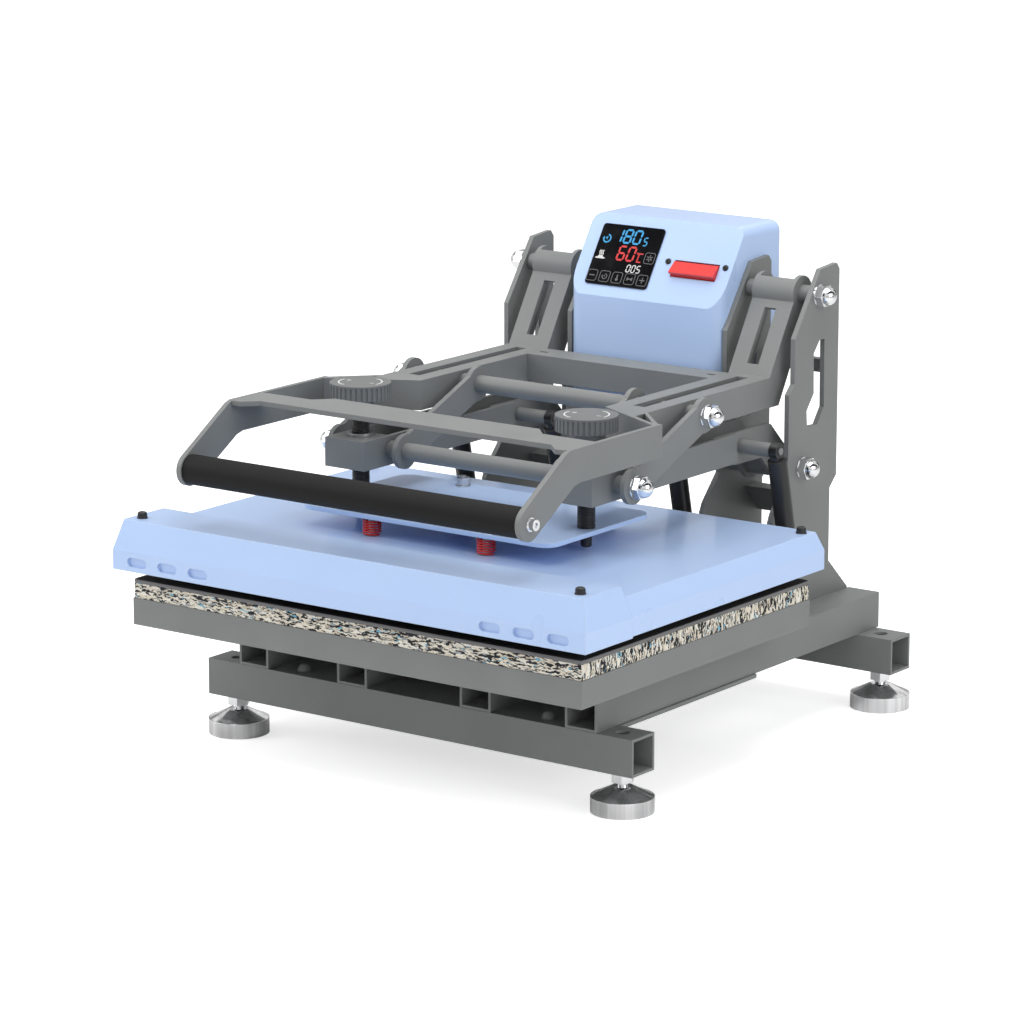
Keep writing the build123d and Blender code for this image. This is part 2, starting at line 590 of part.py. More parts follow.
def upright_outline():
    """(Y, Z) outline of one upright plate, from its front foot round to its top."""
    py, pz = LOWER_PIVOT
    ty, tz = TOP_PIVOT
    foot = py - UPRIGHT_FOOT_AHEAD
    foot_top = pz - UPRIGHT_FOOT_DROP
    throat = py - UPRIGHT_THROAT_AHEAD
    throat_top = pz + UPRIGHT_THROAT_RISE
    step = throat + UPRIGHT_STEP
    back = ty + UPRIGHT_BACK_BEHIND
    head_low, head_high = UPRIGHT_HEAD_RISE
    waist = pz - UPRIGHT_WAIST_DROP
    tail = RAIL_BACK - UPRIGHT_TAIL_CUT[0]
    return [
        (foot, RAIL_BOTTOM), (foot, foot_top),
        (foot + UPRIGHT_FOOT_CHAMFER[0], foot_top + UPRIGHT_FOOT_CHAMFER[1]),
        (throat, pz - UPRIGHT_THROAT_DROP), (throat, throat_top),
        (step, throat_top + UPRIGHT_STEP), (step, throat_top + UPRIGHT_STEP + UPRIGHT_STEP_HEIGHT),
        (ty + UPRIGHT_HEAD_BEHIND[0], tz + head_low), (ty + UPRIGHT_HEAD_BEHIND[1], tz + head_high),
        (back, tz + head_high - UPRIGHT_HEAD_CHAMFER), (back, waist),
        (back - UPRIGHT_WAIST_STEP[0], waist - UPRIGHT_WAIST_STEP[1]),
        (back - UPRIGHT_WAIST_STEP[0], pz - UPRIGHT_FLARE_DROP),
        (tail, RAIL_TOP + UPRIGHT_TAIL_CUT[1]), (tail, RAIL_BOTTOM),
    ]


def uprights():
    """Four laser cut plates, the ties between them and their fixed pivot bolts."""
    window = [(TOP_PIVOT[0] + y, TOP_PIVOT[1] + z) for y, z in WINDOW_CORNERS]
    plates = []
    for x in (INNER_PLATE_X - PLATE_THICKNESS, OUTER_PLATE_X):
        plate = side_outline(upright_outline(), x, x + PLATE_THICKNESS)
        plate -= side_outline(window, x - CUT_PAST, x + PLATE_THICKNESS + CUT_PAST)
        for pivot in (TOP_PIVOT, LOWER_PIVOT):
            plate -= bar_x(PIVOT_BOLT_RADIUS, x - CUT_PAST, x + PLATE_THICKNESS + CUT_PAST, pivot)
        plates += both_sides(plate)
    keep("uprights", plates)

    y, z = LOWER_PIVOT[0] + LOWER_TIE_BEHIND, LOWER_PIVOT[1] - LOWER_TIE_DROP
    leg_back, leg_drop = LOWER_TIE_LEG
    lower_tie = side_outline([
        (y, z), (y + LOWER_TIE_DEPTH, z), (y + LOWER_TIE_DEPTH, z - TIE_THICKNESS),
        (y + LOWER_TIE_THROAT, z - TIE_THICKNESS), (y + leg_back, z - leg_drop),
        (y + leg_back - LOWER_TIE_TOE, z - leg_drop - LOWER_TIE_TOE),
    ], INNER_PLATE_X, OUTER_PLATE_X)
    back = TOP_PIVOT[0] + UPRIGHT_BACK_BEHIND - UPPER_TIE_MARGIN
    top = TOP_PIVOT[1] - UPPER_TIE_DROP
    upper_tie = block(INNER_PLATE_X, OUTER_PLATE_X, back - UPPER_TIE_DEPTH, back, top - UPPER_TIE_HEIGHT, top)
    keep("upright_ties", both_sides(lower_tie), both_sides(upper_tie))

    inner_face = INNER_PLATE_X - PLATE_THICKNESS
    outer_face = OUTER_PLATE_X + PLATE_THICKNESS
    tip = outer_face + WASHER_THICKNESS + ROD_TIP_IN_NUT
    lower_bolt = bar_x(PIVOT_BOLT_RADIUS, inner_face, tip, LOWER_PIVOT)
    top_inner = bar_x(PIVOT_BOLT_RADIUS, inner_face, INNER_PLATE_X, TOP_PIVOT)
    top_outer = bar_x(PIVOT_BOLT_RADIUS, OUTER_PLATE_X, tip, TOP_PIVOT)
    keep("frame_pivot_bolts", both_sides(lower_bolt), both_sides(top_inner), both_sides(top_outer))
    fasteners = []
    for pivot in (TOP_PIVOT, LOWER_PIVOT):
        fasteners += both_sides(washer_x(outer_face, pivot, PIVOT_BOLT_RADIUS))
        fasteners += both_sides(dome_nut(outer_face + WASHER_THICKNESS, pivot, PIVOT_BOLT_RADIUS))
    keep("frame_nuts", fasteners)


def lower_arms():
    """Channel arms, screw blocks, rear brackets and hubs that carry the platen."""
    channel = block(ARM_INNER, ARM_OUTER, LOWER_ARM_FRONT, LOWER_ARM_BACK, LOWER_ARM_BOTTOM, LOWER_ARM_TOP)
    hollow_bottom = LOWER_ARM_BOTTOM + ARM_WALL
    channel -= block(
        ARM_INNER + ARM_WALL, ARM_OUTER - ARM_WALL, LOWER_ARM_FRONT - CUT_PAST, LOWER_ARM_BACK + CUT_PAST,
        hollow_bottom, LOWER_ARM_TOP + CUT_PAST)
    channel -= bar_x(SLEEVE_RADIUS, ARM_INNER - CUT_PAST, ARM_OUTER + CUT_PAST, LOWER_LINK_PIVOT)
    keep("lower_arms", both_sides(channel))

    block_front = SPINDLE_Y - BLOCK_AHEAD
    screw_block = block(ARM_INNER, ARM_OUTER, block_front, LOWER_ARM_FRONT, LOWER_ARM_BOTTOM, LOWER_ARM_TOP)
    screw_block -= bar_z(
        BUSH_RADIUS, PAIR_X, SPINDLE_Y, LOWER_ARM_BOTTOM - CUT_PAST, LOWER_ARM_TOP + CUT_PAST)
    screw_block -= bar_x(SLEEVE_RADIUS, ARM_INNER - CUT_PAST, ARM_OUTER + CUT_PAST, LOWER_LINK_PIVOT)
    keep("screw_blocks", both_sides(screw_block))
    bush = bar_z(BUSH_RADIUS, PAIR_X, SPINDLE_Y, LOWER_ARM_BOTTOM, LOWER_ARM_TOP)
    bush += bar_z(
        BUSH_RADIUS + BUSH_FLANGE_STEP, PAIR_X, SPINDLE_Y, LOWER_ARM_TOP, LOWER_ARM_TOP + BUSH_FLANGE_HEIGHT)
    thread_bore = SPINDLE_RADIUS + RUNNING_CLEARANCE
    bush -= bar_z(
        thread_bore, PAIR_X, SPINDLE_Y, LOWER_ARM_BOTTOM - CUT_PAST,
        LOWER_ARM_TOP + BUSH_FLANGE_HEIGHT + CUT_PAST)
    bush -= bar_x(SLEEVE_RADIUS, ARM_INNER - CUT_PAST, ARM_OUTER + CUT_PAST, LOWER_LINK_PIVOT)
    keep("spindle_bushes", both_sides(bush))

    hub_y, hub_z = LOWER_PIVOT
    reach = HUB_RADIUS + BRACKET_HUB_MARGIN
    bracket_front = LOWER_ARM_BACK - BRACKET_LAP
    step = LOWER_ARM_BACK + BRACKET_STEP
    heel, brow = math.radians(BRACKET_HEEL_TURN), math.radians(BRACKET_BROW_TURN)
    outline = [
        (bracket_front, hollow_bottom), (step, hollow_bottom), (step, LOWER_ARM_BOTTOM - BRACKET_DROP[0]),
        (hub_y - BRACKET_KNEE_AHEAD, LOWER_ARM_BOTTOM - BRACKET_DROP[1]),
        (hub_y + math.cos(heel) * reach, hub_z + math.sin(heel) * reach), (hub_y, hub_z),
        (hub_y + math.cos(brow) * reach, hub_z + math.sin(brow) * reach),
        (hub_y - BRACKET_SHOULDER_AHEAD[0], LOWER_ARM_TOP - BRACKET_SHOULDER_EASE),
        (hub_y - BRACKET_SHOULDER_AHEAD[1], LOWER_ARM_TOP), (bracket_front, LOWER_ARM_TOP),
    ]
    brackets = []
    for x in (ARM_INNER + ARM_WALL, ARM_OUTER - 2 * ARM_WALL):
        bracket = side_outline(outline, x, x + ARM_WALL) + bar_x(reach, x, x + ARM_WALL, LOWER_PIVOT)
        bracket -= bar_x(HUB_RADIUS, x - CUT_PAST, x + ARM_WALL + CUT_PAST, LOWER_PIVOT)
        bracket -= bar_x(STRUT_PIN_RADIUS, x - CUT_PAST, x + ARM_WALL + CUT_PAST, STRUT_PIN)
        brackets += both_sides(bracket)
    keep("arm_brackets", brackets)

    sleeve_start = INNER_PLATE_X + SLIDING_CLEARANCE
    sleeve_end = OUTER_PLATE_X - SLIDING_CLEARANCE
    hub = tube_x(HUB_RADIUS, PIVOT_BOLT_RADIUS + RUNNING_CLEARANCE, sleeve_start, sleeve_end, LOWER_PIVOT)
    sleeve_bore = LINK_ROD_RADIUS + RUNNING_CLEARANCE
    sleeve = tube_x(SLEEVE_RADIUS, sleeve_bore, sleeve_start, sleeve_end, LOWER_LINK_PIVOT)
    keep("lower_arm_sleeves", both_sides(hub), both_sides(sleeve))

    pins = []
    bracket_inner = ARM_INNER + ARM_WALL
    bracket_outer = ARM_OUTER - ARM_WALL
    eye_half = STRUT_EYE_WIDTH / 2
    pin_past = eye_half + STRUT_PIN_PAST_EYE
    pin = bar_x(STRUT_PIN_RADIUS, INNER_RAIL_X - pin_past, OUTER_RAIL_X + pin_past, STRUT_PIN)
    pins += both_sides(pin)
    spacer_bore = STRUT_PIN_RADIUS
    inner_spacer = tube_x(
        STRUT_SPACER_RADIUS, spacer_bore, INNER_RAIL_X + eye_half + SLIDING_CLEARANCE, bracket_inner,
        STRUT_PIN)
    outer_spacer = tube_x(
        STRUT_SPACER_RADIUS, spacer_bore, bracket_outer, OUTER_RAIL_X - eye_half - SLIDING_CLEARANCE,
        STRUT_PIN)
    pins += both_sides(inner_spacer) + both_sides(outer_spacer)
    keep("strut_pins", pins)


def links():
    """Four toggle links on two through rods, tied across by two tubes."""
    (by, bz), (cy, cz) = UPPER_LINK_PIVOT, LOWER_LINK_PIVOT
    length = math.hypot(by - cy, bz - cz)
    angle = math.degrees(math.atan2(bz - cz, by - cy))
    flat = Rectangle(length, 2 * LINK_HALF_WIDTH)
    flat += Pos(-length / 2, 0) * Circle(LINK_END_RADIUS)
    flat += Pos(length / 2, 0) * Circle(LINK_END_RADIUS)
    flat -= Pos(-length / 2, 0) * Circle(LINK_ROD_RADIUS)
    flat -= Pos(length / 2, 0) * Circle(LINK_ROD_RADIUS)
    middle = Pos((by + cy) / 2, (bz + cz) / 2) * Rot(0, 0, angle)
    plates = []
    for x in (INNER_PLATE_X - PLATE_THICKNESS, OUTER_PLATE_X):
        plates += both_sides(extrude(Plane.YZ.offset(x) * middle * flat, PLATE_THICKNESS))
    keep("link_plates", plates)

    outer_face = OUTER_PLATE_X + PLATE_THICKNESS
    tube_end = INNER_PLATE_X - PLATE_THICKNESS
    tip = outer_face + WASHER_THICKNESS + ROD_TIP_IN_NUT
    tubes, rods, fasteners = [], [], []
    for pivot in (UPPER_LINK_PIVOT, LOWER_LINK_PIVOT):
        tubes.append(tube_x(SLEEVE_RADIUS, LINK_ROD_RADIUS, -tube_end, tube_end, pivot))
        rods.append(bar_x(LINK_ROD_RADIUS, -tip, tip, pivot))
        fasteners += both_sides(washer_x(outer_face, pivot, LINK_ROD_RADIUS))
        fasteners += both_sides(dome_nut(outer_face + WASHER_THICKNESS, pivot, LINK_ROD_RADIUS))
    keep("link_cross_tubes", tubes)
    keep("link_rods", rods)
    keep("link_nuts", fasteners)


def splayed_wall(start, end, thickness, bottom):
    """Wall that leaves the arm's side at start and runs to end, thickened backwards or forwards."""
    (x0, y0), (x1, y1) = start, end
    along = thickness * math.hypot(x1 - x0, y1 - y0) / (x1 - x0)
    inside = x0 + thickness
    points = [(x0, y0), end, (x1, y1 + along)]
    if thickness > 0:
        points += [(inside, y0 + ARM_WALL)]
    else:
        points += [(inside, y0), (inside, y0 + ARM_WALL)]
    return plan_outline(points + [(x0, y0 + ARM_WALL)], bottom, UPPER_ARM_TOP)


def upper_arm():
    """Folded arm: a horizontal run, a sloping run to the top pivot and splayed front walls."""
    slope = UPPER_ARM_TILT
    run = (math.cos(slope), math.sin(slope))
    normal = (math.sin(slope), -math.cos(slope))
    ey, ez = TOP_PIVOT
    bottom = UPPER_ARM_TOP - ARM_DEPTH
    web_length = (ez + WEB_ABOVE_PIVOT - UPPER_ARM_TOP) / run[1]
    web_end = (UPPER_ARM_BEND + web_length * run[0], UPPER_ARM_TOP + web_length * run[1])
    heel = (UPPER_ARM_BEND + ARM_DEPTH * math.tan(slope / 2), bottom)
    back_touch = (ey + EAR_RADIUS * normal[0], ez + EAR_RADIUS * normal[1])
    front_touch = (ey - EAR_RADIUS / 2 * normal[0], ez - EAR_RADIUS / 2 * normal[1])
    outline = [
        (UPPER_ARM_FRONT, bottom), (UPPER_ARM_FRONT, UPPER_ARM_TOP), (UPPER_ARM_BEND, UPPER_ARM_TOP),
        web_end, front_touch, (ey, ez), back_touch, heel,
    ]
    body = side_outline(outline, ARM_INNER, ARM_OUTER) + bar_x(EAR_RADIUS, ARM_INNER, ARM_OUTER, TOP_PIVOT)
    web_under = UPPER_ARM_TOP - ARM_WALL
    fold_shift = ARM_WALL * math.tan(slope / 2)
    web_back = (web_end[0] + ARM_WALL * normal[0], web_end[1] + ARM_WALL * normal[1])
    front, low, far = UPPER_ARM_FRONT - CUT_PAST, bottom - ARM_DEPTH, 2 * ARM_DEPTH
    hollow = side_outline([
        (front, web_under), (UPPER_ARM_BEND + fold_shift, web_under), web_back, web_end,
        (web_end[0], ez + far), (ey + far, ez + far), (ey + far, low), (front, low),
    ], ARM_INNER + ARM_WALL, ARM_OUTER - ARM_WALL)
    body -= hollow

    splay_end = HANDLE_PLATE_BACK - ARM_SPLAY_STEP
    splay_x = HANDLE_PLATE_X - ARM_INNER
    splay_y = UPPER_ARM_FRONT - splay_end
    nose = plan_outline([
        (ARM_INNER, UPPER_ARM_FRONT), (ARM_OUTER, UPPER_ARM_FRONT - ARM_WIDTH * splay_y / splay_x),
        (ARM_OUTER, UPPER_ARM_FRONT + CUT_PAST), (ARM_INNER, UPPER_ARM_FRONT + CUT_PAST),
    ], web_under, UPPER_ARM_TOP)
    inner_wall = splayed_wall((ARM_INNER, UPPER_ARM_FRONT), (HANDLE_PLATE_X, splay_end), ARM_WALL, bottom)
    outer_wall = splayed_wall(
        (ARM_OUTER, UPPER_ARM_FRONT), (HANDLE_PLATE_X, HANDLE_PLATE_BACK), -ARM_WALL, bottom)
    body += nose + inner_wall + outer_wall

    half_slot = ARM_SLOT_WIDTH / 2
    slot_start = UPPER_ARM_FRONT + ARM_SLOT_FRONT_MARGIN
    slot_end = UPPER_ARM_BEND - ARM_SLOT_BACK_MARGIN
    body -= block(
        PAIR_X - half_slot, PAIR_X + half_slot, slot_start, slot_end, web_under - CUT_PAST,
        UPPER_ARM_TOP + CUT_PAST)
    slope_end = math.sqrt(PIVOT_SPAN ** 2 - WEB_AHEAD_OF_PIVOT ** 2) - SLOPE_SLOT_END_MARGIN
    slot = block(-half_slot, half_slot, SLOPE_SLOT_START, slope_end, -ARM_WALL - CUT_PAST, CUT_PAST)
    body -= Pos(PAIR_X, UPPER_ARM_BEND, UPPER_ARM_TOP) * Rot(math.degrees(slope), 0, 0) * slot
    for pivot in (TOP_PIVOT, UPPER_LINK_PIVOT):
        body -= bar_x(SLEEVE_RADIUS, ARM_INNER - CUT_PAST, ARM_OUTER + CUT_PAST, pivot)
    return body


def handle_plate():
    """Side plate from the arm's splayed front down to the grip."""
    gy, gz = GRIP_AXIS
    top = UPPER_ARM_TOP
    bottom = top - HANDLE_PLATE_DEPTH
    end_radius = HANDLE_PLATE_DEPTH / 2
    bend_low = HANDLE_PLATE_BEND + HANDLE_UNDER_BEND
    angle = math.atan2(top - end_radius - gz, (HANDLE_PLATE_BEND + bend_low) / 2 - gy)
    up = (-math.sin(angle) * end_radius, math.cos(angle) * end_radius)
    top_ease, low_ease, ease_drop = HANDLE_BEND_EASE
    outline = [
        (HANDLE_PLATE_BACK, bottom), (HANDLE_PLATE_BACK, top), (HANDLE_PLATE_BEND + top_ease, top),
        (HANDLE_PLATE_BEND - top_ease, top - ease_drop), (gy + up[0], gz + up[1]), (gy, gz),
        (gy - up[0], gz - up[1]), (bend_low - low_ease, bottom - ease_drop), (bend_low + low_ease, bottom),
    ]
    x0, x1 = HANDLE_PLATE_X, HANDLE_PLATE_X + PLATE_THICKNESS
    plate = side_outline(outline, x0, x1) + bar_x(end_radius, x0, x1, GRIP_AXIS)
    return plate - bar_x(GRIP_BOLT_RADIUS, x0 - CUT_PAST, x1 + CUT_PAST, GRIP_AXIS)


def upper_frame():
    """Upper arms, handle plates, cross members, grip and the sleeves on the pivots."""
    keep("upper_arms", both_sides(upper_arm()))
    keep("handle_plates", both_sides(handle_plate()))

    half = HANDLE_PLATE_X
    front, inner_back = CROSS_PLATE_FRONT - CROSS_PLATE_FRONT_STEP, CROSS_PLATE_BACK - CROSS_PLATE_STEP
    front_outer, front_inner = CROSS_PLATE_FRONT_CUT
    back_outer, back_inner = CROSS_PLATE_BACK_CUT
    right_edge = [
        (half - front_inner, CROSS_PLATE_FRONT), (half - front_outer, front), (half, front),
        (half, inner_back), (half - back_outer, inner_back), (half - back_inner, CROSS_PLATE_BACK),
    ]
    left_edge = [(-x, y) for x, y in reversed(right_edge)]
    cross = plan_outline(right_edge + left_edge, UPPER_ARM_TOP - CROSS_PLATE_THICKNESS, UPPER_ARM_TOP)
    keep("handle_cross_plate", cross)

    back = REAR_CHANNEL_FRONT + REAR_CHANNEL_DEPTH
    bottom = UPPER_ARM_TOP - REAR_CHANNEL_HEIGHT
    channel = block(-ARM_INNER, ARM_INNER, REAR_CHANNEL_FRONT, back, bottom, UPPER_ARM_TOP)
    wall = REAR_CHANNEL_WALL
    channel -= block(
        -ARM_INNER - CUT_PAST, ARM_INNER + CUT_PAST, REAR_CHANNEL_FRONT + wall, back - wall,
        bottom - CUT_PAST, UPPER_ARM_TOP - wall)
    for x in (REAR_SLOT_MARGIN - ARM_INNER, ARM_INNER - REAR_SLOT_MARGIN):
        middle = REAR_CHANNEL_FRONT + REAR_CHANNEL_DEPTH / 2
        hole = extrude(Pos(x, middle) * SlotOverall(REAR_SLOT_LENGTH, REAR_SLOT_WIDTH), 2 * wall + CUT_PAST)
        channel -= Pos(0, 0, UPPER_ARM_TOP - 2 * wall) * hole
    keep("rear_cross_channel", channel)

    keep("grip", tube_x(GRIP_RADIUS, GRIP_BORE / 2, -HANDLE_PLATE_X, HANDLE_PLATE_X, GRIP_AXIS))
    face = HANDLE_PLATE_X + PLATE_THICKNESS
    inside = HANDLE_PLATE_X - GRIP_BOLT_REACH
    end = face + GRIP_HEAD_HEIGHT
    bolt = bar_x(GRIP_BOLT_RADIUS, inside, face + GRIP_HEAD_STEP, GRIP_AXIS)
    bolt += bar_x(GRIP_BOLT_RADIUS + GRIP_HEAD_RIM, face, face + GRIP_HEAD_STEP, GRIP_AXIS)
    bolt += bar_x(GRIP_BOLT_RADIUS + GRIP_HEAD_CAP, face + GRIP_HEAD_STEP, end, GRIP_AXIS)
    bolt += bar_x(GRIP_BORE / 2, inside, HANDLE_PLATE_X, GRIP_AXIS)
    bolt -= hexagon_x(GRIP_SOCKET_ACROSS, end - GRIP_SOCKET_DEPTH, end + CUT_PAST, GRIP_AXIS)
    keep("grip_bolts", both_sides(bolt))

    start = INNER_PLATE_X + SLIDING_CLEARANCE
    end = OUTER_PLATE_X - SLIDING_CLEARANCE
    top = bar_x(SLEEVE_RADIUS, start, end, TOP_PIVOT)
    link = tube_x(SLEEVE_RADIUS, LINK_ROD_RADIUS + RUNNING_CLEARANCE, start, end, UPPER_LINK_PIVOT)
    keep("upper_arm_sleeves", both_sides(top), both_sides(link))


def pressure_screw():
    """Pressure spindle on the right: thread, shouldered tail and its retaining ring."""
    spindle = bar_z(SPINDLE_RADIUS, PAIR_X, SPINDLE_Y, PLATE_TOP, SPINDLE_TOP)
    spindle += bar_z(SPINDLE_TAIL_RADIUS, PAIR_X, SPINDLE_Y, PLATE_BOTTOM - SPINDLE_TAIL_DROP, PLATE_TOP)
    ring_top = PLATE_BOTTOM - SPINDLE_RING_PLAY
    ring_radius = SPINDLE_TAIL_RADIUS + SPINDLE_RING_STEP
    spindle += bar_z(ring_radius, PAIR_X, SPINDLE_Y, ring_top - SPINDLE_RING_HEIGHT, ring_top)
    return spindle


def knob():
    """Fluted knob on the right with its hub."""
    body = bar_z(KNOB_RADIUS, PAIR_X, SPINDLE_Y, KNOB_TOP - KNOB_HEIGHT, KNOB_TOP)
    flutes = [
        bar_z(
            KNOB_FLUTE_RADIUS, PAIR_X + KNOB_RADIUS * math.cos(turn),
            SPINDLE_Y + KNOB_RADIUS * math.sin(turn),
            KNOB_TOP - KNOB_HEIGHT - CUT_PAST, KNOB_TOP - KNOB_RIM)
        for turn in (2 * math.pi * i / KNOB_FLUTES for i in range(KNOB_FLUTES))
    ]
    body -= flutes
    hub_bottom = KNOB_TOP - KNOB_HEIGHT - KNOB_HUB_HEIGHT
    body += bar_z(KNOB_HUB_RADIUS, PAIR_X, SPINDLE_Y, hub_bottom, KNOB_TOP - KNOB_HEIGHT)
    return body - bar_z(SPINDLE_RADIUS, PAIR_X, SPINDLE_Y, hub_bottom - CUT_PAST, SPINDLE_TOP)


def helix_point(turn, radius, bottom, rise):
    """Point and unit tangent on a helix after a number of turns."""
    a = 2 * math.pi * turn
    pitch = rise / SPRING_TURNS
    point = Vector(radius * math.cos(a), radius * math.sin(a), bottom + pitch * turn)
    tangent = Vector(-radius * math.sin(a), radius * math.cos(a), pitch / (2 * math.pi)).normalized()
    return point, tangent


def spring(x, y, bottom, top):
    """Compression spring: one unbroken tube of joined arcs with a straight start and end."""
    radius = SPRING_OUTER_RADIUS - SPRING_WIRE / 2
    margin = SOFT_CLEARANCE + SPRING_WIRE / 2 + SPRING_SEAT_PLAY
    low = bottom + margin
    rise = top - bottom - 2 * margin
    steps = round(SPRING_TURNS * SPRING_ARCS_PER_TURN)
    ends = [helix_point(SPRING_TURNS * i / steps, radius, low, rise) for i in range(steps + 1)]
    first, first_tangent = ends[0]
    last, last_tangent = ends[-1]
    path = [Line(first - first_tangent * SPRING_WIRE, first)]
    for (p0, t0), (p1, t1) in zip(ends, ends[1:]):
        chord = p1 - p0
        both = t0 + t1
        spread = 2 * (1 - t0.dot(t1))
        reach = (-chord.dot(both) + math.sqrt(chord.dot(both) ** 2 + spread * chord.dot(chord))) / spread
        joint = (p0 + p1) * 0.5 + (t0 - t1) * (reach / 2)
        joint_tangent = (p1 - t1 * reach) - (p0 + t0 * reach)
        path.append(TangentArc(p0, joint, tangent=t0))
        path.append(TangentArc(joint, p1, tangent=joint_tangent))
    path.append(Line(last, last + last_tangent * SPRING_WIRE))
    wire = Wire(path)
    section = Plane(origin=wire @ 0, z_dir=wire % 0) * Circle(SPRING_WIRE / 2)
    tube = sweep(section, path=wire)
    count = SPRING_CHECK_POINTS
    points = [wire @ (i / count) for i in range(count + 1)]
    apart = int(count / SPRING_TURNS / 2)
    pairs = ((points[i], points[j]) for i in range(count + 1) for j in range(i + apart, count + 1))
    gap = min((p - q).length for p, q in pairs) - SPRING_WIRE
    print("spring gap to itself", round(gap, 2), "mm")
    return Pos(x, y, 0) * tube


def pressure_parts():
    """Pressure plate, its four springs, both spindles and both knobs."""
    plate = block(
        -PRESSURE_PLATE_HALF_WIDTH, PRESSURE_PLATE_HALF_WIDTH,
        PRESSURE_PLATE_FRONT, PRESSURE_PLATE_BACK, PLATE_BOTTOM, PLATE_TOP)
    plate = fillet(plate.edges().filter_by(Axis.Z), PRESSURE_PLATE_CORNER)
    stud_bore = STUD_RADIUS + STUD_PLAY
    for x in (-STUD_X, STUD_X):
        for y in (STUD_FRONT_Y, STUD_BACK_Y):
            plate -= bar_z(stud_bore, x, y, PLATE_BOTTOM - CUT_PAST, PLATE_TOP + CUT_PAST)
    for x in (-PAIR_X, PAIR_X):
        bore = SPINDLE_TAIL_RADIUS + RUNNING_CLEARANCE
        plate -= bar_z(bore, x, SPINDLE_Y, PLATE_BOTTOM - CUT_PAST, PLATE_TOP + CUT_PAST)
    keep("pressure_plate", plate)
    springs = []
    for y in (STUD_FRONT_Y, STUD_BACK_Y):
        springs += both_sides(spring(STUD_X, y, COVER_TOP, PLATE_BOTTOM))
    keep("die_springs", springs)
    keep("right_spindle", pressure_screw())
    keep("left_spindle", mirrored(pressure_screw()))
    keep("right_knob", knob())
    keep("left_knob", mirrored(knob()))


def tapered_lid(half_width, front, back, bottom, shoulder, top, inset):
    """Upright skirt below and a ruled slope up to a smaller top."""
    width, depth = 2 * half_width, back - front
    middle_y = (front + back) / 2
    skirt = block(-half_width, half_width, front, back, bottom, shoulder)
    low = Pos(0, middle_y, shoulder) * Rectangle(width, depth)
    high = Pos(0, middle_y, top) * Rectangle(width - 2 * inset, depth - 2 * inset)
    return skirt + loft([low, high], ruled=True)


def cover_body(shrink):
    """Platen cover outline, full size or shrunk by the sheet on every side."""
    main_top = COVER_TOP - shrink
    band_top = BAND_TOP - shrink
    bottom = COVER_BOTTOM - (CUT_PAST if shrink else 0)
    front = BAND_FRONT + COVER_FRONT_UNDER_BAND
    main = tapered_lid(
        COVER_HALF_WIDTH - shrink, front, COVER_BACK - shrink, bottom, COVER_SHOULDER, main_top, COVER_INSET)
    band = tapered_lid(
        BAND_HALF_WIDTH - shrink, BAND_FRONT + shrink, BAND_BACK - shrink, bottom, COVER_SHOULDER,
        band_top, BAND_INSET)
    return main + band


def serpentine(run_half, first_y, last_y, z):
    """Tubular heating element laid in even runs joined by half circles."""
    pitch = (last_y - first_y) / (HEATER_RUNS - 1)
    edges = []
    side = 1
    for i in range(HEATER_RUNS):
        y = first_y + pitch * i
        edges.append(Line((-side * run_half, y, z), (side * run_half, y, z)))
        if i < HEATER_RUNS - 1:
            turn = (side * (run_half + pitch / 2), y + pitch / 2, z)
            edges.append(ThreePointArc((side * run_half, y, z), turn, (side * run_half, y + pitch, z)))
        side = -side
    wire = Wire(edges)
    return sweep(Plane(origin=wire @ 0, z_dir=wire % 0) * Circle(HEATER_RADIUS), path=wire)


